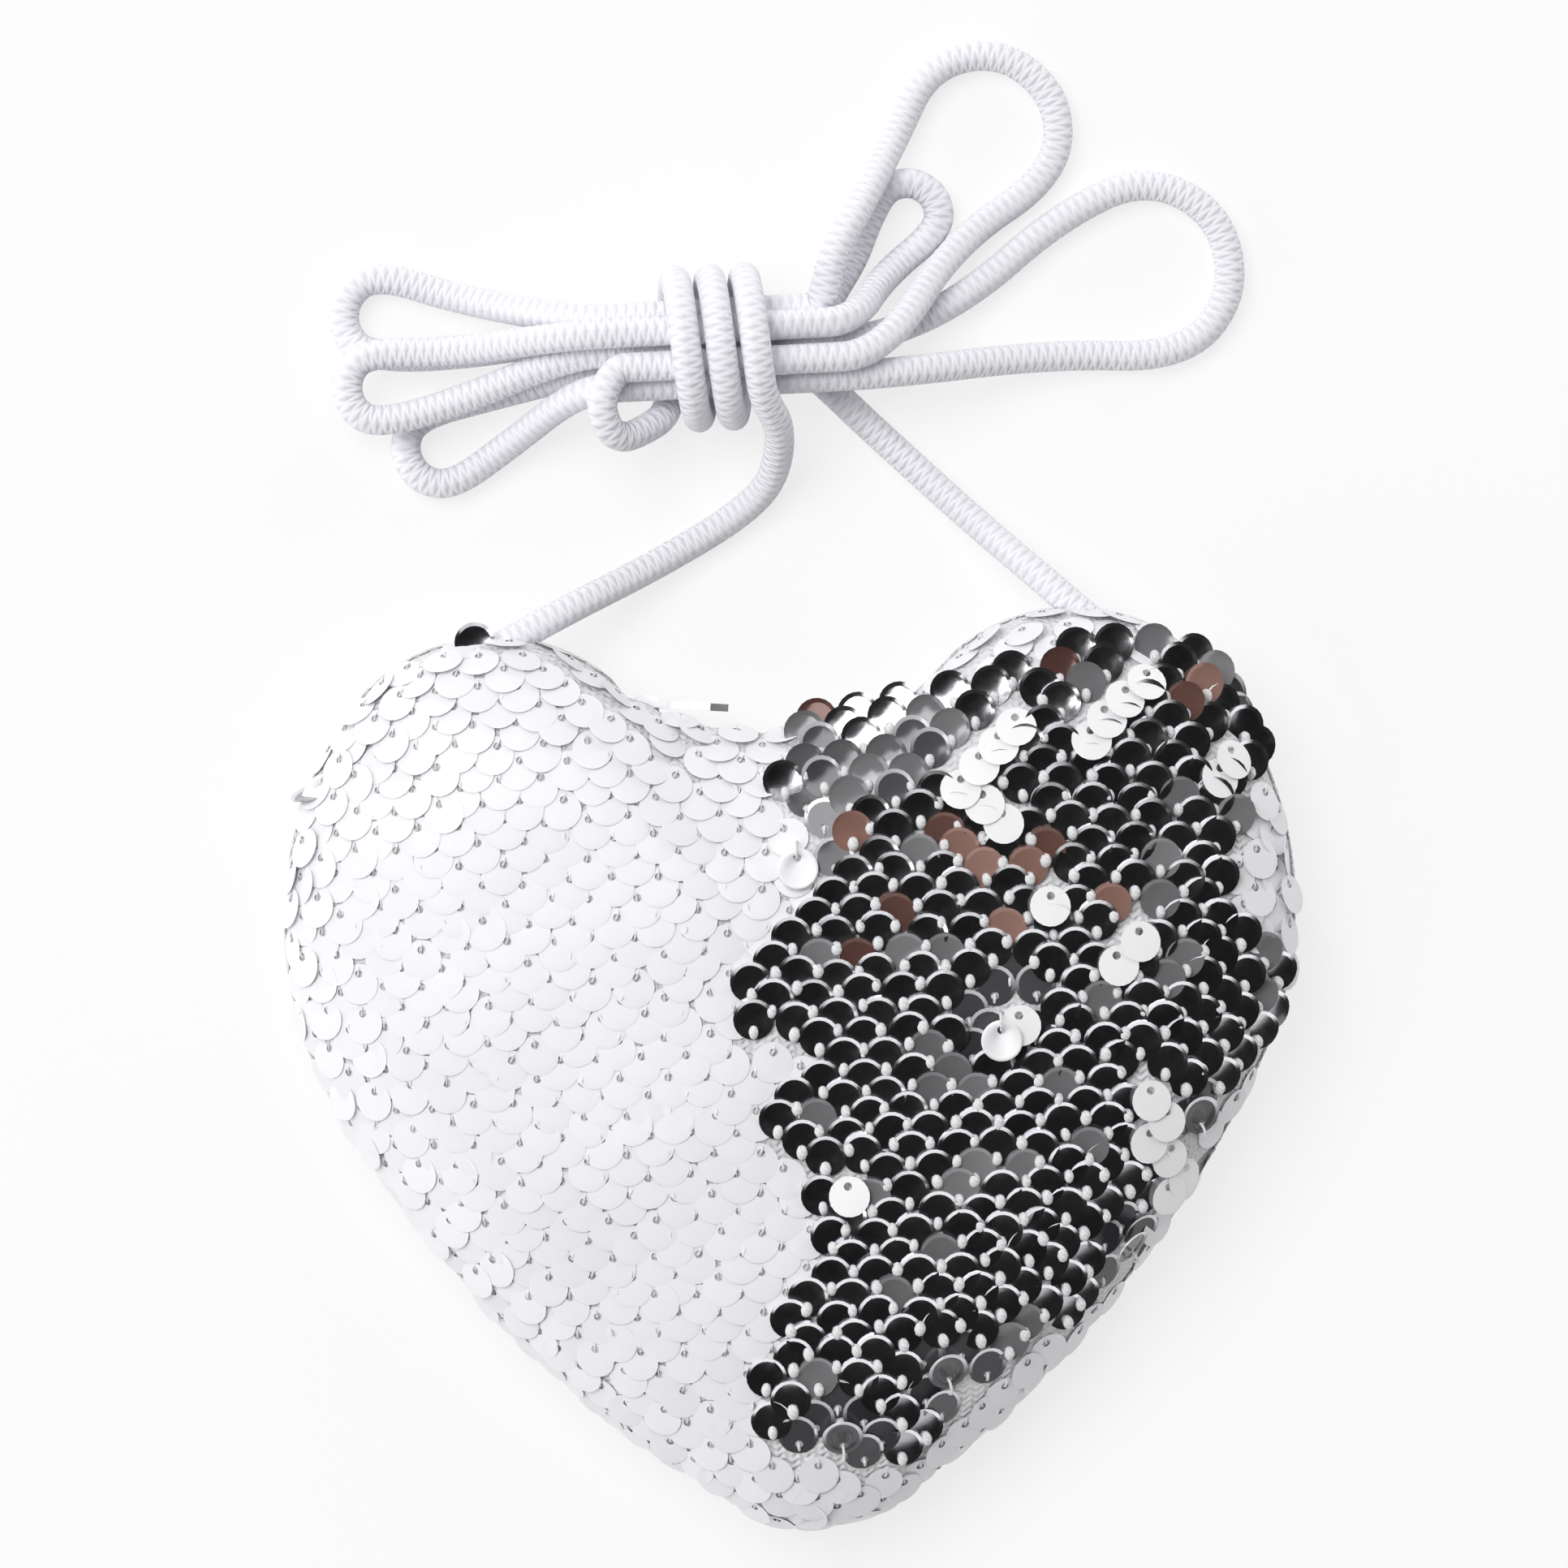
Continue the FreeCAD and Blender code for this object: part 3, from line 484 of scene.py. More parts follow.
lining_lip = np.maximum(LIP * LINING_LIP, LINING_SEAM_LIP)
front_lining_rows = []
for share in np.linspace(0, FRONT_LINING_LAST, FRONT_LINING_ROW_COUNT):
    start = np.arcsin(lining_lip / FRONT_RISE)
    level = np.sin(start + (math.pi / 2 - start) * share)
    size = front_size(level, FRONT_LINING_FULLNESS)
    z = SEAM_Z + level * (FRONT_RISE - FRONT_LINING_DROP)
    front_lining_rows.append(heart_row(size, FRONT_LINING_INSET, z))
back_lining_rows = []
for share in np.linspace(0, 1, BACK_LINING_ROW_COUNT):
    start = lining_lip / SEAM_Z
    level = start + (1 - start) * math.sin(share * math.pi / 2)
    z = SEAM_Z - level * (SEAM_Z - BACK_LINING_Z)
    back_lining_rows.append(heart_row(back_size(level), BACK_LINING_INSET, z))
for share in BACK_LINING_UNDERSIDE:
    back_lining_rows.append(heart_row(share, BACK_LINING_INSET, BACK_LINING_Z))


def weave_finish(name, low, high, yarn, relief, sheen):
    """Plain weave: yarns over and under in both directions."""
    finish, ink = new_finish(name)
    along, across = cloth_axes(ink)
    warp = ink.maths("SINE", along * (math.pi / yarn))
    weft = ink.maths("SINE", across * (math.pi / yarn))
    height = ink.maths("ABSOLUTE", warp) * 0.5 + ink.maths("ABSOLUTE", weft) * 0.5 + warp * weft * 0.5
    slub = speckle(ink, 300.0, 2.0)
    surface(ink, Base_Color=tinted(ink, height * 0.5 + slub * 0.5, low, high), Roughness=0.7 + slub * 0.2,
            Sheen_Weight=sheen, Normal=raised(ink, height + slub * 0.4, relief))
    return finish


lining_weave = weave_finish("lining_weave", low=(0.72, 0.72, 0.74), high=(0.88, 0.88, 0.9), yarn=0.35,
                            relief=0.08, sheen=0.1)
for name, panel, rows, flip in (("front_lining", "front_cloth", front_lining_rows, False),
                                ("back_lining", "back_cloth", back_lining_rows, True)):
    lining = thickness(lofted(name + "_cloth", rows, pole=True, flip=flip), LINING_WALL)
    straight_grain(lining, rows)
    lining.data.materials.append(lining_weave)
    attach(lining, "purse")
    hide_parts(name)

# Zip tapes and end tabs: white woven polyester, sewn inside the folded edges of the mouth. A folded
# tab closes the mouth past each end of the zip.

DIP_AXIS_Y = 79.6991
TAPE_RADIUS = 40.6
TAPE_THICK = 0.5
TAPE_EDGE = 1.45
TAPE_REACH = 5.15
TAPE_STEPS = (2.4, 3.3, 4.2, TAPE_REACH)
TAPE_SEAT = 0.02
TAPE_ROW_COUNT = 90
BEAD_RADIUS = 0.33
BEAD_ARC = (0.5, 2.64, 6)
ZIP_ANGLE = 34.55
TAB_HALF = 4.2
TAB_OFFSET = (0.85, 1.25)
TAB_SIZE = (0.75, 0.8)
TAB_PINCH = 0.25
TAB_ROW_COUNT = 15
TAB_SIDES = 16


def on_zip(radius, angle, z):
    """Place on the zip's curve, about the middle of the dip's arc."""
    a = math.radians(angle)
    return Vector((radius * math.sin(a), DIP_AXIS_Y - radius * math.cos(a), z)) * MM


def tape_section(side):
    """Section of one tape, with a corded edge beside the teeth."""
    section = []
    for a in np.linspace(*BEAD_ARC):
        reach = TAPE_EDGE + BEAD_RADIUS - BEAD_RADIUS * math.sin(a)
        section.append((TAPE_RADIUS + TAPE_THICK / 2 - BEAD_RADIUS * math.cos(a), reach))
    section += [(TAPE_RADIUS + TAPE_THICK, reach) for reach in TAPE_STEPS]
    section += [(TAPE_RADIUS + TAPE_SEAT, reach) for reach in reversed(TAPE_STEPS)]
    return [(radius, SEAM_Z + side * reach) for radius, reach in section]


tape_weave = weave_finish("zip_tape_weave", low=(0.74, 0.74, 0.76), high=(0.93, 0.93, 0.94), yarn=0.3,
                          relief=0.1, sheen=0.05)
for side, node in ((1, "zip_tape_front"), (-1, "zip_tape_back")):
    rows = []
    for angle in np.linspace(-ZIP_ANGLE, ZIP_ANGLE, TAPE_ROW_COUNT):
        rows.append([on_zip(radius, angle, z) for radius, z in tape_section(side)])
    tape = lofted(node + "_web", rows, caps=True, flip=side > 0)
    tape.data.materials.append(tape_weave)
    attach(tape, "purse")
    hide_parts(node)


def squared(value):
    """A circle's share pushed out towards a soft-cornered square."""
    return math.copysign(abs(value) ** 0.6, value)


for side, node in ((-1, "zip_end_tab_left"), (1, "zip_end_tab_right")):
    rows = []
    for z in np.linspace(-TAB_HALF, TAB_HALF, TAB_ROW_COUNT):
        squeeze = 1 - TAB_PINCH * abs(z / TAB_HALF) ** 6
        ring = []
        for a in np.linspace(0, 2 * math.pi, TAB_SIDES, endpoint=False):
            radius = TAPE_RADIUS + TAB_OFFSET[0] + TAB_SIZE[0] * squeeze * squared(math.sin(a))
            angle = side * (ZIP_ANGLE + TAB_OFFSET[1] + TAB_SIZE[1] * squeeze * squared(math.cos(a)))
            ring.append(on_zip(radius, angle, SEAM_Z + z))
        rows.append(ring)
    tab = lofted(node + "_fold", rows, caps=True, flip=side < 0)
    tab.data.materials.append(cloth_knit)
    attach(tab, "purse")
    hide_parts(node)

# Zip teeth and stops: white moulded plastic, each tooth pressed over the tape's corded edge, with
# stops clamped on at both ends of the rows.

TOOTH_EDGE = 0.12


def soft_edges(piece, width):
    """Round a piece's edges and make room for its finish."""
    bevel = piece.modifiers.new("edges", "BEVEL")
    bevel.width = width * MM
    bevel.segments = 2
    bevel.limit_method = "ANGLE"
    piece.data.materials.clear()
    return piece


def moulded_finish(name, low, high):
    """Moulded plastic: even colour with faint flow marks and a fine moulded grain."""
    finish, ink = new_finish(name)
    flow = speckle(ink, 220.0, 2.0)
    grain = speckle(ink, 2600.0, 2.0)
    surface(ink, Base_Color=tinted(ink, flow, low, high), Roughness=0.28 + flow * 0.2,
            Normal=raised(ink, grain, 0.01))
    return finish


tooth_plastic = moulded_finish("tooth_plastic", low=(0.78, 0.78, 0.8), high=(0.9, 0.9, 0.91))
for node in ("zip_teeth_front", "zip_teeth_back", "zip_top_stops", "zip_bottom_stop"):
    soft_edges(nodes[node], TOOTH_EDGE).data.materials.append(tooth_plastic)

# Slider and pull: die-cast zinc, tumbled and bright plated. The slider holds both rows of teeth in
# its channels, and the pull's bar turns in the slider's bail.

CAST_EDGE = 0.18


def plated_finish(name, low, high):
    """Bright plate over cast metal: fine tumbling marks, rubbed spots."""
    finish, ink = new_finish(name)
    rub = speckle(ink, 420.0, 4.0)
    mark = speckle(ink, 3000.0, 2.0)
    surface(ink, Base_Color=tinted(ink, rub, low, high), Metallic=1.0, Roughness=0.3 + rub * 0.25,
            Normal=raised(ink, mark, 0.006))
    return finish


bright_plate = plated_finish("bright_plate", low=(0.66, 0.66, 0.68), high=(0.82, 0.82, 0.84))
for node in ("zip_slider", "zip_pull"):
    soft_edges(nodes[node], CAST_EDGE).data.materials.append(bright_plate)

# Flip sequins: 5 mm dished discs of film, white on one face and mirror silver on the other, each
# sewn by one thread through a hole off its middle. Rows overlap like tiles: the left half lies
# white, free edges down, and the right half is brushed up to silver.

SEQUIN_RADIUS = 2.5
HOLE_RADIUS = 0.5
HOLE_OFFSET = 1.25
CUP_START = 0.8
CUP_EDGE = 0.04
ROW_PITCH = 2.44
COLUMN_PITCH = 5.3
ROWS = range(-27, 24)
COLUMNS = range(-13, 14)
UNEVEN_ACROSS = 0.55
UNEVEN_UP = 0.4
GRAIN_STEP = 0.8
SILVER_EDGE = (
    (0.3, 41.9), (0.1, 37.4), (-1.7, 32.5), (3.0, 27.2), (2.6, 19.2), (-2.6, 14.5), (-7.4, 9.7),
    (-5.6, 5.6), (1.8, 2.3), (-0.9, -1.6), (-4.2, -7.4), (1.0, -11.7), (2.3, -16.8), (1.0, -21.7),
    (-2.8, -27.6), (-4.0, -32.5), (-5.8, -37.4), (-8.0, -41.3), (-1.7, -45.6), (2.1, -49.3),
    (12.2, -48.3), (16.4, -43.6), (22.7, -38.9), (33.1, -30.4), (39.5, -23.7), (44.9, -15.0),
    (50.3, -8.2), (53.6, -2.4), (58.8, 2.3), (59.5, 11.3), (57.0, 15.4), (52.6, 17.7),
    (52.9, 23.7), (56.6, 27.5), (57.9, 33.4), (58.7, 39.4), (54.1, 46.6), (48.3, 50.9),
    (37.3, 50.5), (33.2, 49.7), (28.1, 48.0), (24.0, 46.2), (15.0, 45.6), (9.9, 42.9))
WHITE_AMONG_SILVER = (
    (22.4, 33.7), (26.2, 30.0), (24.5, 37.3), (26.6, 41.2), (54.6, 36.6), (32.7, 20.2), (40.9, 14.0),
    (26.2, 4.8), (5.4, -13.7), (0.6, 29.3), (38.3, 40.4), (42.5, 45.2), (22.3, 50.8), (44.4, -4.9),
    (43.1, -10.9), (44.4, -15.0))
# Places where silver discs get a brown-pink tint: a painted reflection, not a colour of the film.
BROWN_REFLECTIONS = (
    (32.1, 47.3), (35.0, 45.1), (50.9, 42.8), (9.0, 26.4), (21.0, 26.8), (31.5, 26.3), (24.8, 22.1),
    (30.3, 21.8), (12.6, 17.7), (40.1, 18.3), (27.4, 14.5), (8.3, 12.9), (4.8, 41.7))
DULLED = (
    (3.5, 38.5), (8.0, 37.0), (12.0, 37.0), (16.0, 38.5), (19.0, 41.0), (5.0, 34.5), (10.0, 33.5),
    (14.5, 34.0))
WHITE_REACH = 2.6
BROWN_REFLECTION_REACH = 2.2
DULL_REACH = 3.2
STRAY_SILVER = (
    ((-37.0, 53.85, 13.0), (0, 1, 0), (0, 0, 1)),
    ((-56.9, 37.9, 13.0), (-0.953, -0.3, 0), (-0.28, 0.89, 0.35)))
FLIP_SPOTS = [[c / MM for c in joint["pos_m"][:2]] for joint in frame["joints"]
              if joint["name"].startswith("sequin_turn")]
FLIP_ROOM = 1.9
FLIP_SWEEP = 5.6
WHITE_SHADES = (0.65, 1.0)
BRIGHT_SHADES = (0.0, 0.6)
BROWN_REFLECTION_SHADES = (0.87, 1.0)
GREY_SHADES = (0.76, 0.83)
GREY_CHANCE = 0.1
DULL_SHADE = 0.69
DULL_SPREAD = 0.15
DULL_MOST = 0.7
DARK_REFLECTION_SHADE = 0.67
DARK_REFLECTION_SPREAD = 0.06
STRAY_SHADE = 0.6
WORN_OR_PAINTED_FROM = 0.65
STEEP_RISE = 0.87
LEVELLED = 0.55
BRUSHED = {"lift": 0.55, "tilt": 8, "lean": 4, "spin": 11, "cup": 0.3}
PRESSED = {"lift": 0.2, "tilt": 2, "lean": 1, "spin": 4, "cup": 0.06}
TURNED_BACK = {"lift": 1.4, "tilt": 6, "lean": 1.2, "spin": 12, "cup": -0.04}
SMOOTHED = {"lift": 0.24, "tilt": 2.1, "lean": 1.4, "spin": 24, "cup": -0.05}
STRAY = {"lift": 0.0, "tilt": 0, "lean": 1, "spin": 3, "cup": 0.3}
RAY_HEIGHT = 60.0
WALK_MOST = 0.6
WALK_LEAST = 0.05
WALK_SHARE = 0.9
FREE_HALF = 0.35

chance = random.Random(11)
front_tree = BVHTree.FromPolygons([v.co.copy() for v in front_cloth.data.vertices],
                                  [tuple(p.vertices) for p in front_cloth.data.polygons])


def on_front(across, up):
    """Place and normal on the front, measured along the cloth from its crown; None past the seam."""
    reach = math.hypot(across, up)
    way = Vector((across, up, 0)) / reach if reach > 0.01 else Vector((1, 0, 0))
    last = None
    travelled = 0.0
    plan = 0.0
    while True:
        above = Vector((way.x * plan * MM, (CROWN_Y + way.y * plan) * MM, RAY_HEIGHT * MM))
        hit, normal, _, _ = front_tree.ray_cast(above, Vector((0, 0, -1)))
        if hit is None or hit.z < (SEAM_Z - 1) * MM:
            return None
        if last is not None:
            travelled += (hit - last).length / MM
        if travelled >= reach:
            return hit, normal
        last = hit
        plan += min(WALK_MOST, max(WALK_LEAST, (reach - travelled) * WALK_SHARE))


def inside(x, y, edge):
    """Whether a place lies within a closed outline."""
    crossings = 0
    for (x0, y0), (x1, y1) in zip(edge, edge[1:] + edge[:1]):
        if (y0 > y) != (y1 > y) and x < x0 + (y - y0) / (y1 - y0) * (x1 - x0):
            crossings += 1
    return crossings % 2 == 1


def near(x, y, places, reach):
    """Whether a place lies within reach of any of the places."""
    return any(math.hypot(x - a, y - b) < reach for a, b in places)


def free_shares(sides):
    """How much each point round a disc belongs to its free half."""
    return np.clip(FREE_HALF + np.sin(np.linspace(0, 2 * math.pi, sides, endpoint=False)), 0, 1)


def sequin_rows(hole, across, free, normal, tilt, roll, lift, cup, sides=20):
    """Rings of one disc: its hole, the flat middle and the rim, bent up or down along the free half."""
    turns = np.linspace(0, 2 * math.pi, sides, endpoint=False)
    wheel = np.stack([np.cos(turns), np.sin(turns)], axis=1)
    rings = [(wheel * HOLE_RADIUS, 0)]
    for share, bend in ((CUP_START, 0), (CUP_START + CUP_EDGE, CUP_EDGE / (1 - CUP_START)), (1.0, 1)):
        rings.append((wheel * (SEQUIN_RADIUS * share) + (0, HOLE_OFFSET), bend))
    rows = []
    for flat, bend in rings:
        height = lift + cup * bend * free_shares(sides)
        height = height + flat[:, 1] * math.tan(tilt) + flat[:, 0] * math.tan(roll)
        reach = flat[:, :1] * np.array(across) + flat[:, 1:] * np.array(free)
        rows.append(np.array(hole) + MM * (reach + height[:, None] * np.array(normal)))
    return rows


fields = {"white": ([], []), "silver": ([], [])}
holes = []


def sew_sequin(hole, free, normal, silver, shade, lift, tilt, lean, spin, cup):
    """Add one disc with its free edge along `free`; `lean` and `spin` say how loosely it hangs."""
    side = free.cross(normal) if silver else normal.cross(free)
    tilt = math.radians(tilt + 0.6 * lean * chance.uniform(-1, 1))
    roll = math.radians(lean * chance.uniform(-1, 1))
    yaw = math.radians(spin * chance.uniform(-1, 1))
    turned = side * math.cos(yaw) + free * math.sin(yaw)
    aim = free * math.cos(yaw) - side * math.sin(yaw)
    rows, tints = fields["silver" if silver else "white"]
    rows.append(sequin_rows(hole, turned, aim, normal, tilt, roll, lift, cup))
    tints.append(shade)
    holes.append((hole, aim, normal, silver))


def silver_shade(x, y, flat):
    """Tint of one silver disc: most are bright mirror and some dull or worn grey. Some get a painted brown-pink
    reflection, and where the cloth is steep a disc gets a painted dark reflection.
    """
    shade = chance.uniform(*BRIGHT_SHADES)
    if near(x, y, BROWN_REFLECTIONS, BROWN_REFLECTION_REACH):
        shade = chance.uniform(*BROWN_REFLECTION_SHADES)
    elif chance.random() < GREY_CHANCE:
        shade = chance.uniform(*GREY_SHADES)
    if near(x, y, DULLED, DULL_REACH):
        shade = DULL_SHADE + DULL_SPREAD * min(shade, DULL_MOST)
    # Steep discs get a near-black tint: a painted dark reflection.
    if flat.z < STEEP_RISE and shade < WORN_OR_PAINTED_FROM:
        shade = DARK_REFLECTION_SHADE + DARK_REFLECTION_SPREAD * shade
    return shade


for row in ROWS:
    for column in COLUMNS:
        across = (column + 0.5 * (row % 2)) * COLUMN_PITCH + chance.uniform(-UNEVEN_ACROSS, UNEVEN_ACROSS)
        up = row * ROW_PITCH + chance.uniform(-UNEVEN_UP, UNEVEN_UP)
        spot = on_front(across, up)
        ahead = on_front(across, up + GRAIN_STEP)
        behind = on_front(across, up - GRAIN_STEP)
        if spot is None or (ahead is None and behind is None):
            continue
        hole, normal = spot
        x = hole.x / MM
        y = hole.y / MM
        if near(x, y, FLIP_SPOTS, FLIP_ROOM):
            continue
        up_cloth = ((ahead or spot)[0] - (behind or spot)[0]).normalized()
        normal = (normal - up_cloth * normal.dot(up_cloth)).normalized()
        if not inside(x, y, SILVER_EDGE):
            sew_sequin(hole, -up_cloth, normal, False, chance.uniform(*WHITE_SHADES), **SMOOTHED)
        elif near(x, y, WHITE_AMONG_SILVER, WHITE_REACH):
            sew_sequin(hole, -up_cloth, normal, False, 0.0, **TURNED_BACK)
        else:
            flat = normal.lerp(Vector((0, 0, 1)), LEVELLED).normalized()
            rise = (up_cloth - flat * up_cloth.dot(flat)).normalized()
            shade = silver_shade(x, y, flat)
            # Discs beside the flips lie pressed on steep cloth and get the same painted dark reflection.
            if near(x, y, FLIP_SPOTS, FLIP_SWEEP):
                shade = DARK_REFLECTION_SHADE + DARK_REFLECTION_SPREAD * min(shade, BRIGHT_SHADES[1])
                sew_sequin(hole, up_cloth, normal, True, shade, **PRESSED)
            else:
                sew_sequin(hole, rise, flat, True, shade, **BRUSHED)
for hole, free, normal in STRAY_SILVER:
    sew_sequin(Vector(hole) * MM, Vector(free), Vector(normal), True, STRAY_SHADE, **STRAY)


def white_film_finish(name):
    """White side of the film: satin, each disc a touch lighter or greyer than its neighbours."""
    finish, ink = new_finish(name)
    tint = ink.node("ShaderNodeAttribute", {"attribute_name": "tint"}, out="Fac")
    film = speckle(ink, 700.0, 3.0)
    surface(ink, Base_Color=tinted(ink, tint * 0.9 + film * 0.1, (0.95, 0.95, 0.96), (0.88, 0.88, 0.915)),
            Roughness=0.34 + film * 0.15, Normal=raised(ink, film, 0.02))
    return finish


# Ramp from tint to film colour: bright silver, then a painted dark reflection, worn greys, and brown-pink painted
# reflections.
SILVER_TINTS = (
    (0.0, (0.62, 0.62, 0.64)), (0.62, (0.42, 0.42, 0.45)), (DARK_REFLECTION_SHADE, (0.035, 0.035, 0.04)),
    (0.83, (0.34, 0.34, 0.35)), (0.86, (0.1, 0.045, 0.04)), (0.94, (0.3, 0.16, 0.13)),
    (1.0, (0.5, 0.3, 0.25)))
# Colour of the highlight painted along each silver disc's rim.
RIM_HIGHLIGHT_COLOUR = (0.85, 0.85, 0.88, 1)
DULL_FROM = 0.73


def silver_film_finish(name):
    """Mirror side of the film: vapour-coated metal with fine rubbing marks. A painted highlight is mixed into the
    colour along each disc's rim; some discs are worn grey, and some carry a painted dark or brown-pink reflection.
    """
    finish, ink = new_finish(name)
    tint = ink.node("ShaderNodeAttribute", {"attribute_name": "tint"}, out="Fac")
    rim = ink.node("ShaderNodeAttribute", {"attribute_name": "rim"}, out="Fac")
    rub = speckle(ink, 900.0, 3.0)
    colour = ink.node("ShaderNodeValToRGB", {"stops": SILVER_TINTS}, {"Fac": tint})
    # Worn and dull discs lose most of their metal, and so do discs with a painted dark or brown-pink reflection.
    worn_or_painted = ink.maths("GREATER_THAN", tint, WORN_OR_PAINTED_FROM)
    dull = ink.maths("GREATER_THAN", tint, DULL_FROM)
    # Painted highlight: the rim's colour is mixed towards near-white, except on dull discs.
    rim_highlight = rim * (1 - dull)
    highlighted_colour = ink.node("ShaderNodeMix", {"data_type": "RGBA"}, {0: rim_highlight, 6: colour, 7: RIM_HIGHLIGHT_COLOUR}, 2)
    surface(ink, Base_Color=highlighted_colour, Metallic=1.0 - worn_or_painted * 0.75, Roughness=0.1 + rub * 0.14,
            Normal=raised(ink, rub, 0.012))
    return finish


def shade_discs(piece, tints, rows):
    """Write each disc's tint, and how much each of its points lies on the bent rim, where the silver film's
    painted highlight goes.
    """
    sides = len(rows[0])
    values = np.repeat(np.array(tints, np.float32), sides * len(rows))
    piece.data.attributes.new("tint", "FLOAT", "POINT").data.foreach_set("value", values)
    free = free_shares(sides)
    rims = np.tile(np.concatenate([free * 0, free * 0, free, free]).astype(np.float32), len(tints))
    piece.data.attributes.new("rim", "FLOAT", "POINT").data.foreach_set("value", rims)


film = {"white": white_film_finish("white_film"), "silver": silver_film_finish("silver_film")}
for colour, (rows, tints) in fields.items():
    field = joined("sequins_" + colour, rows, caps=False)
    shade_discs(field, tints, rows[0])
    field.data.materials.append(film[colour])
    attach(field, "purse")
    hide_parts("sequin_field_" + colour)
    "sequin_" + colour

# Sequin stitches: one white thread from each hole over the disc's held edge into the cloth, thick
# and knotted where the silver half is brushed up and thin elsewhere.

KNOT_RISE = 0.8
THREAD_RISE = 0.3
PRESSED_THREAD = 0.2
THREAD_TAPER = np.array([0.6, 0.9, 1.0, 1.0, 0.9, 0.6])
THREAD_REACH = 1.25
THREAD_BACK = 0.3
THREAD_LIFT = 0.1
KNOT_WIDTHS = (0.55, 0.7)
THREAD_WIDTHS = (0.07, 0.14)

loops = []
for hole, free, normal, silver in holes:
    pressed = near(hole.x / MM, hole.y / MM, FLIP_SPOTS, FLIP_SWEEP)
    knotted = silver and not pressed
    width = chance.uniform(*(KNOT_WIDTHS if knotted else THREAD_WIDTHS))
    width = PRESSED_THREAD if silver and pressed else width
    rise = KNOT_RISE if knotted else THREAD_RISE
    arch = []
    for a in np.linspace(0, math.pi, len(THREAD_TAPER)):
        over = normal * (THREAD_LIFT + rise * math.sin(a)) - free * (THREAD_REACH * a / math.pi - THREAD_BACK)
        arch.append(list(hole + MM * over))
    loops.append(tube_rows(arch, width * MM * THREAD_TAPER, 8))
sequin_stitches = joined("sequin_stitches", loops)
sequin_stitches.data.materials.append(white_thread)
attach(sequin_stitches, "purse")

# Six sequins that turn over on their own thread loops, four silver and two white: the same discs of
# film, left long on the thread where the brushed half meets the smooth one.

FLIP_REACH = 1.0
FLIP_CUP = 0.3
FLIP_WALL = 0.15
FLIP_SIDES = 32
FLIP_TINTS = {"white": 0.2, "silver": 0.7}
LOOP_RADIUS = 1.0
LOOP_LEG = 1.9
LOOP_THREAD = 0.17

slots = {part["node"]: part["material_slot"] for part in frame["record"]["subparts"]}
flip_loops = []
for joint in frame["joints"]:
    if not joint["name"].startswith("sequin_turn"):
        continue
    name = joint["child"]
    colour = "white" if "white" in slots[name] else "silver"
    hinge = Vector(joint["pos_m"])
    axis = Vector(joint["axis"]).normalized()
    points = np.array([v.co for v in nodes[name].data.vertices])
    spread = np.linalg.svd(points - points.mean(axis=0))[2]
    normal = Vector(spread[2]) * (1 if spread[2][2] > 0 else -1)
    free = normal.cross(axis).normalized()
    hole = hinge + free * (FLIP_REACH * MM)
    rows = sequin_rows(hole, axis, free, normal, 0.0, 0.0, 0.0, FLIP_CUP, sides=FLIP_SIDES)
    disc = thickness(lofted(name + "_disc", rows), FLIP_WALL)
    shade_discs(disc, [FLIP_TINTS[colour]], rows)
    disc.data.materials.append(film[colour])
    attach(disc, name)
    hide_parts(name)
    "sequin_" + colour
    arch = []
    for a in np.linspace(0, math.pi, 17):
        arch.append(hinge + MM * LOOP_RADIUS * (free * math.cos(a) + normal * math.sin(a)))
    leg = normal * LOOP_LEG * MM
    arch = [arch[0] - leg] + arch + [arch[-1] - leg]
    flip_loops.append(tube_rows([list(p) for p in arch], [LOOP_THREAD * MM] * len(arch), 8))
flip_threads = joined("flip_threads", flip_loops)
flip_threads.data.materials.append(white_thread)
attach(flip_threads, "purse")
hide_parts("sequin_threads")

# Strap: one soft braided cotton cord, nearly a metre long, gathered in loose loops and wrapped round
# its own waist. Each end goes into the side seam at the top of a lobe.

CORD_DIAMETER = 3.7
CORD_SIDES = 16
CORD_STEPS = 12
WAIST_Y = 89.9
WAIST_Z = 10.4
WRAP_RADIUS = 8.5
WRAP_POINTS = 34
WRAP_START = 215.0
WRAP_TURN = 1005.0
WRAP_WIDTH = 11.9
LEFT_RUN = (
    (-37.6, 52.7, 10.0), (-30.8, 56.0, 10.0), (-24.0, 59.3, 8.2), (-17.2, 62.4, 4.3), (-10.2, 65.9, 2.1),
    (-4.4, 69.1, 1.95), (-0.2, 72.4, 3.5), (1.5, 75.9, 6.6), (1.9, 79.9, 11.7))
HOOK = ((-13.3, 81.0, 8.3), (-18.4, 78.7, 12.0), (-20.3, 83.4, 14.8), (-18.0, 87.8, 14.1))
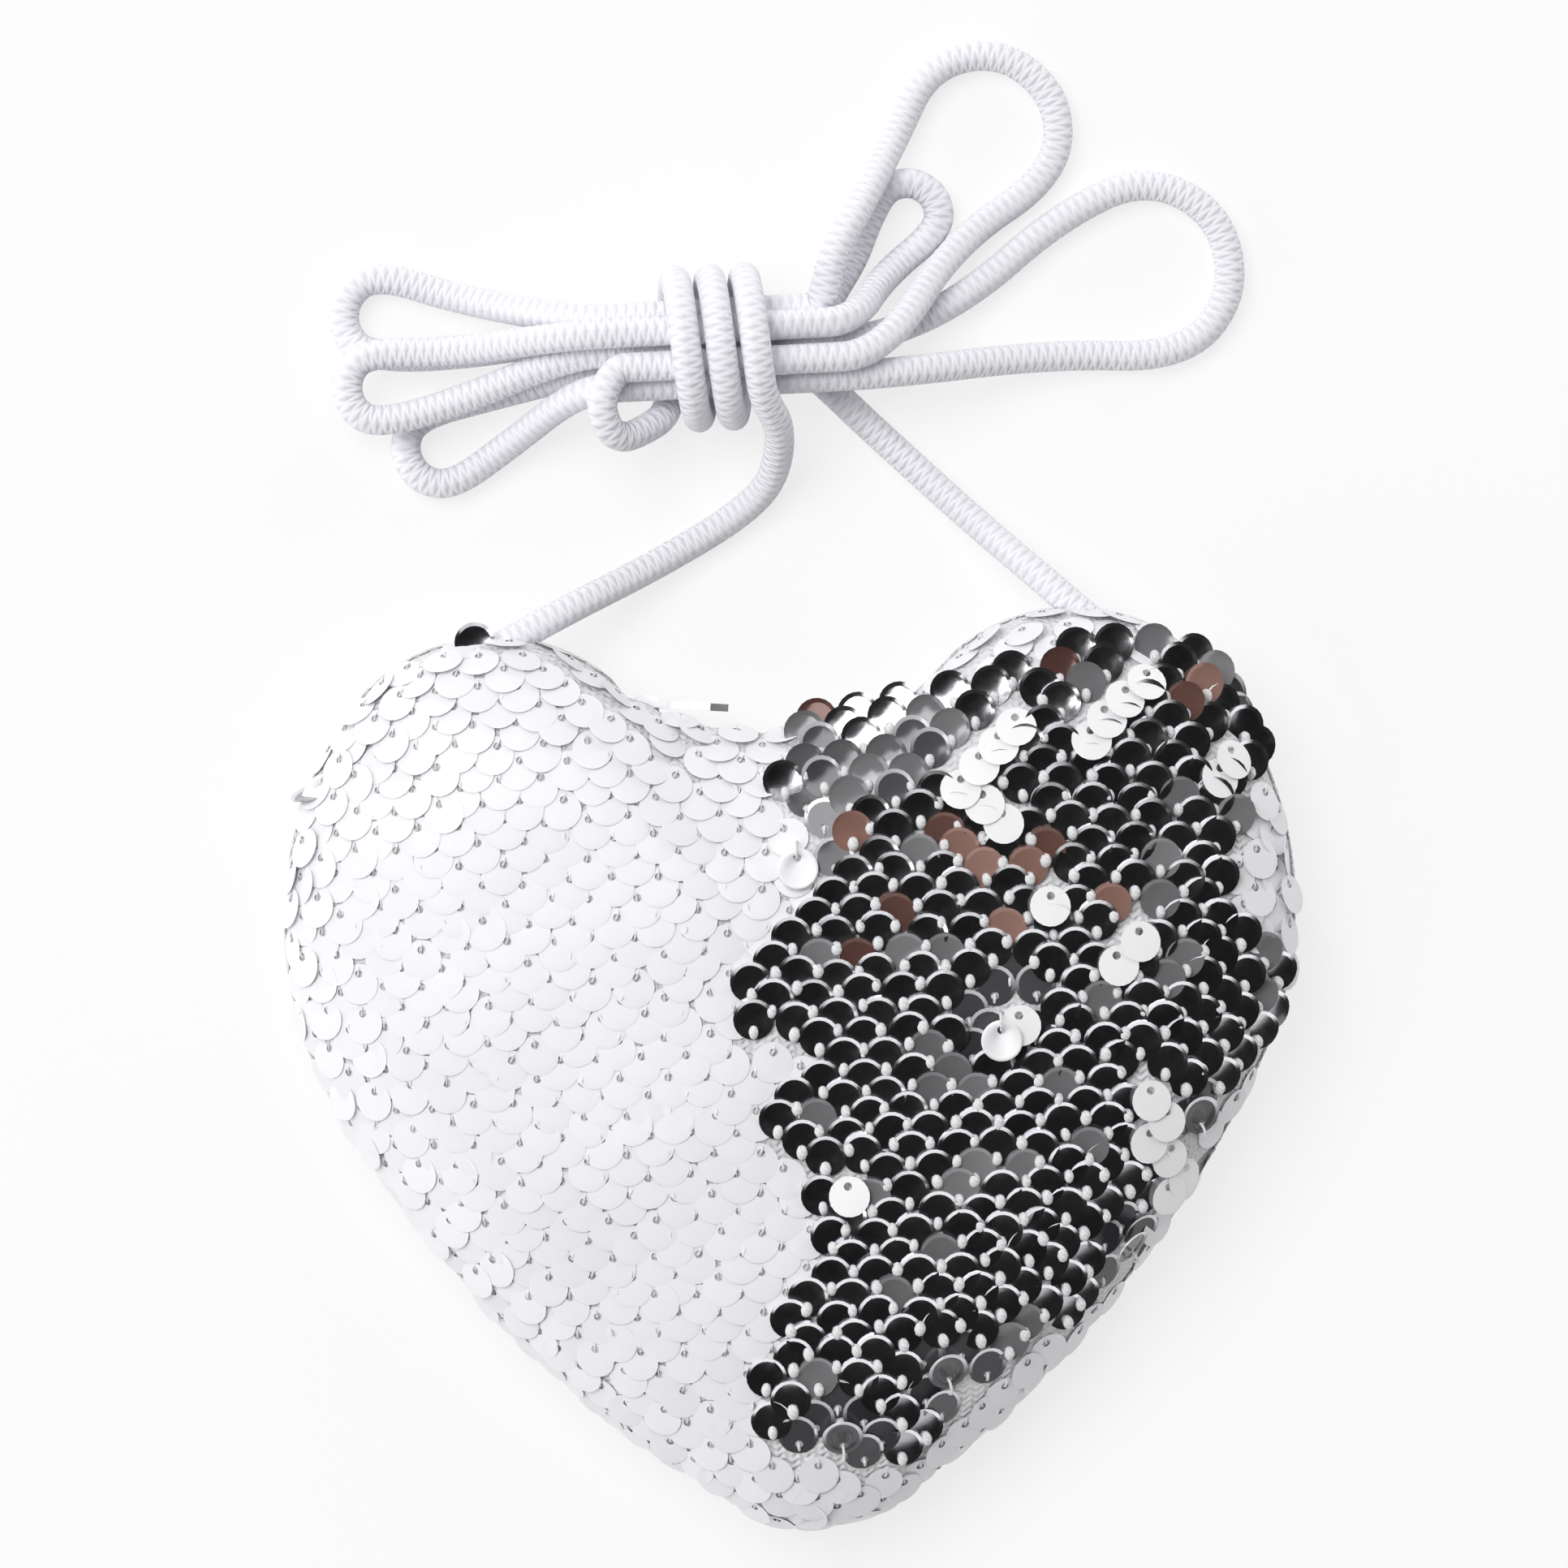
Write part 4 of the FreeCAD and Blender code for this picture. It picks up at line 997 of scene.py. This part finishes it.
LOOPS = (
    (-15.5, 87.8, 14.1), (4.5, 87.8, 14.1), (15.0, 87.8, 14.1), (24.5, 101.8, 1.9), (37.6, 109.5, 1.9),
    (38.7, 118.9, 1.9), (31.8, 125.4, 1.9), (22.5, 123.9, 1.9), (17.8, 114.9, 1.9), (13.7, 107.5, 8.7),
    (9.3, 100.5, 11.1), (7.7, 94.2, 10.4), (4.5, 94.2, 10.4), (-15.5, 94.2, 10.4), (-23.7, 94.2, 10.4),
    (-37.1, 97.9, 1.9), (-46.9, 101.6, 1.9), (-50.9, 99.4, 1.9), (-51.8, 95.0, 1.9), (-49.0, 91.4, 1.9),
    (-38.7, 90.9, 1.9), (-23.5, 92.1, 6.7), (-15.5, 92.1, 6.7), (4.5, 92.1, 6.7), (7.2, 92.1, 6.7),
    (9.0, 96.0, 3.5), (12.0, 100.3, 2.1), (14.1, 105.3, 1.9), (16.5, 109.2, 1.9), (20.2, 109.7, 1.9),
    (23.0, 107.2, 1.9), (22.8, 103.4, 1.9), (15.6, 98.1, 1.9), (11.6, 92.1, 14.1), (4.5, 92.1, 14.1),
    (-15.5, 92.1, 14.1), (-23.8, 92.1, 14.1), (-38.5, 91.1, 6.4), (-48.7, 91.7, 6.4), (-51.4, 88.9, 6.4),
    (-51.1, 85.0, 6.4), (-48.0, 82.7, 6.4), (-38.2, 84.8, 6.4), (-23.5, 89.9, 10.4), (-15.5, 89.9, 10.4),
    (4.5, 89.9, 10.4), (9.0, 89.9, 10.4), (15.9, 90.7, 4.5), (26.3, 95.2, 2.2), (37.3, 104.0, 1.9),
    (48.5, 108.9, 1.9), (57.6, 103.9, 1.9), (59.3, 93.7, 1.9), (52.3, 86.1, 1.9), (36.1, 87.4, 1.9),
    (15.6, 85.6, 10.4), (4.5, 85.6, 10.4), (-15.5, 85.6, 10.4), (-22.5, 85.6, 10.4), (-31.7, 79.6, 1.9),
    (-39.3, 74.7, 1.9), (-43.4, 76.0, 1.9), (-45.1, 79.9, 1.9), (-43.1, 83.7, 1.9), (-34.5, 85.6, 1.9),
    (-22.2, 87.8, 6.7), (-15.5, 87.8, 6.7))
RIGHT_RUN = (
    (1.5, 87.8, 6.7), (5.4, 87.2, 5.2), (8.2, 84.6, 3.0), (12.6, 80.0, 1.9), (18.6, 73.9, 1.9),
    (25.4, 67.0, 4.0), (32.0, 60.6, 8.6), (37.6, 55.2, 10.0), (43.2, 50.0, 10.0))

wrap = []
wrap_reach = WRAP_RADIUS / math.cos(math.radians(WRAP_TURN / WRAP_POINTS / 2))
for k in range(WRAP_POINTS + 1):
    share = 1 - k / WRAP_POINTS
    a = math.radians(WRAP_START + WRAP_TURN * share)
    y = WAIST_Y + wrap_reach * math.cos(a)
    wrap.append((WRAP_WIDTH * share - WRAP_WIDTH, y, WAIST_Z + wrap_reach * math.sin(a)))
route = [*LEFT_RUN, *wrap, *HOOK, *LOOPS, *RIGHT_RUN]
route_curve = bpy.data.curves.new("cord_route", "CURVE")
route_curve.dimensions = "3D"
route_curve.resolution_u = CORD_STEPS
spline = route_curve.splines.new("NURBS")
spline.points.add(len(route) - 1)
for point, place in zip(spline.points, route):
    point.co = (*(c * MM for c in place), 1.0)
spline.order_u = 3
spline.use_endpoint_u = True
route_piece = bpy.data.objects.new("cord_route", route_curve)
bpy.context.scene.collection.objects.link(route_piece)
bpy.context.view_layer.update()
route_mesh = bpy.data.meshes.new_from_object(route_piece)
cord_path = np.array([v.co for v in route_mesh.vertices])
bpy.data.objects.remove(route_piece)
cord_rings = tube_rows(cord_path, [CORD_DIAMETER / 2 * MM] * len(cord_path), CORD_SIDES)
strap = lofted("strap_cord", cord_rings, caps=True, flip=True)


def braid_finish(name, low, high, pitch, strands, relief):
    """Braided cotton: slanted strands that cross in two directions, with a soft fuzz."""
    finish, ink = new_finish(name)
    around, along = cloth_axes(ink)
    turn = 2 * strands / CORD_DIAMETER
    over = ink.maths("SINE", along * (2 * math.pi / pitch) + around * turn)
    under = ink.maths("SINE", along * (2 * math.pi / pitch) - around * turn)
    braid = ink.maths("MAXIMUM", over, under)
    fuzz = speckle(ink, 1400.0, 3.0)
    surface(ink, Base_Color=tinted(ink, braid * 0.4 + 0.5 + fuzz * 0.2, low, high),
            Roughness=0.78 + fuzz * 0.15, Sheen_Weight=0.2, Normal=raised(ink, braid + fuzz * 0.3, relief))
    return finish


cord_braid = braid_finish("cord_braid", low=(0.81, 0.8, 0.87), high=(0.94, 0.93, 0.975), pitch=1.2,
                          strands=3, relief=0.09)
strap.data.materials.append(cord_braid)
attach(strap, "purse")
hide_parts("cord_hank", "cord_left_run", "cord_right_run")

# Whippings: five turns of thread wound tight round each end of the cord, so that the braid holds
# together where it is sewn in inside the seam.

WHIPPING_RADIUS = 2.12
WHIPPING_THREAD = 0.2
WHIPPING_START = 0.22
WHIPPING_WIDTH = 1.56
WHIPPING_TURNS = 5
WHIPPING_STEPS = 120

for side, end, inward in (("left", LEFT_RUN[0], LEFT_RUN[1]), ("right", RIGHT_RUN[-1], RIGHT_RUN[-2])):
    along = (Vector(inward) - Vector(end)).normalized()
    level = along.cross(Vector((0, 0, 1))).normalized()
    rise = level.cross(along)
    wound = []
    for k in range(WHIPPING_STEPS + 1):
        a = 2 * math.pi * k * WHIPPING_TURNS / WHIPPING_STEPS
        middle = Vector(end) + along * (WHIPPING_START + WHIPPING_WIDTH * k / WHIPPING_STEPS)
        spoke = (level * math.cos(a) + rise * math.sin(a)) * WHIPPING_RADIUS
        wound.append(list((middle + spoke) * MM))
    thread_rings = tube_rows(wound, [WHIPPING_THREAD * MM] * len(wound), 6)
    whipping = lofted("whipping_" + side, thread_rings, caps=True)
    whipping.data.materials.append(white_thread)
    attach(whipping, "purse")
    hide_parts("cord_whipping_" + side)

# Table, studio light and camera: the purse lies on a plain white table and is seen from straight
# above; large soft lights stand round it and the ceiling over it is dark.

TABLE_HALF = 3
TABLE_Z = -0.0002
TABLE_WHITE = 0.75
HORIZON = (1.0, 1.0, 1.0)
ROOM_STOPS = ((0.0, HORIZON), (0.3, HORIZON), (0.46, (0.02, 0.02, 0.02)), (1.0, (0.015, 0.015, 0.015)))
LIGHT_AIM = Vector((0, 0.04, 0))
LIGHTS = (
    ("key_light", (-0.45, 0.5, 1.3), 1.0, 16.0),
    ("left_light", (-1.2, -0.4, 0.75), 0.9, 4.5),
    ("far_light", (0.8, 1.2, 0.8), 0.9, 4.5))
CAMERA_LENS = 200
CAMERA_SENSOR = 36
CAMERA_PLACE = (0.0001, 0.0358, 1.083)
CAMERA_TURN = -math.atan2(0.05129, 0.99868)

corners = [(-TABLE_HALF, -TABLE_HALF), (TABLE_HALF, -TABLE_HALF), (TABLE_HALF, TABLE_HALF),
           (-TABLE_HALF, TABLE_HALF)]
table_mesh = bpy.data.meshes.new("table")
table_mesh.from_pydata([(x, y, TABLE_Z) for x, y in corners], [], [(0, 1, 2, 3)])
table = bpy.data.objects.new("table", table_mesh)
bpy.context.scene.collection.objects.link(table)
table_white, ink = new_finish("table_white")
grain = tinted(ink, speckle(ink, 60.0, 2.0), (0.95, 0.95, 0.95), (0.97, 0.97, 0.97))
matt = ink.node("ShaderNodeBsdfDiffuse", {}, {"Color": grain})
glow = ink.node("ShaderNodeEmission", {}, {"Color": (1, 1, 1, 1), "Strength": 1.0})
seen = ink.node("ShaderNodeLightPath", out="Is Camera Ray")
mirrored = ink.node("ShaderNodeLightPath", out="Is Glossy Ray")
let_through = ink.node("ShaderNodeLightPath", out="Is Transmission Ray")
white_share = (seen + mirrored + let_through) * TABLE_WHITE
backdrop = ink.node("ShaderNodeMixShader", {}, {0: white_share, 1: matt, 2: glow})
ink.node("ShaderNodeOutputMaterial", {}, {"Surface": backdrop})
table_mesh.materials.append(table_white)

room = bpy.data.worlds.new("room")
room.use_nodes = True
room.node_tree.nodes.clear()
ink = Ink(room.node_tree)
way = ink.node("ShaderNodeSeparateXYZ", {}, {0: ink.node("ShaderNodeTexCoord", out="Generated")}, 2)
sky = ink.node("ShaderNodeValToRGB", {"stops": ROOM_STOPS}, {"Fac": way})
walls = ink.node("ShaderNodeBackground", {}, {"Color": sky, "Strength": 1.0})
ink.node("ShaderNodeOutputWorld", {}, {"Surface": walls})
bpy.context.scene.world = room

for name, place, size, power in LIGHTS:
    lamp = bpy.data.lights.new(name, "AREA")
    lamp.size = size
    lamp.energy = power
    lamp_piece = bpy.data.objects.new(name, lamp)
    lamp_piece.location = place
    lamp_piece.rotation_euler = (LIGHT_AIM - Vector(place)).to_track_quat("-Z", "Y").to_euler()
    bpy.context.scene.collection.objects.link(lamp_piece)

camera = bpy.data.cameras.new("camera")
camera.lens = CAMERA_LENS
camera.sensor_width = CAMERA_SENSOR
eye = bpy.data.objects.new("camera", camera)
eye.location = CAMERA_PLACE
eye.rotation_euler = (0, 0, CAMERA_TURN)
bpy.context.scene.collection.objects.link(eye)
bpy.context.scene.camera = eye
bpy.context.scene.view_settings.view_transform = "Standard"

bpy.context.view_layer.update()
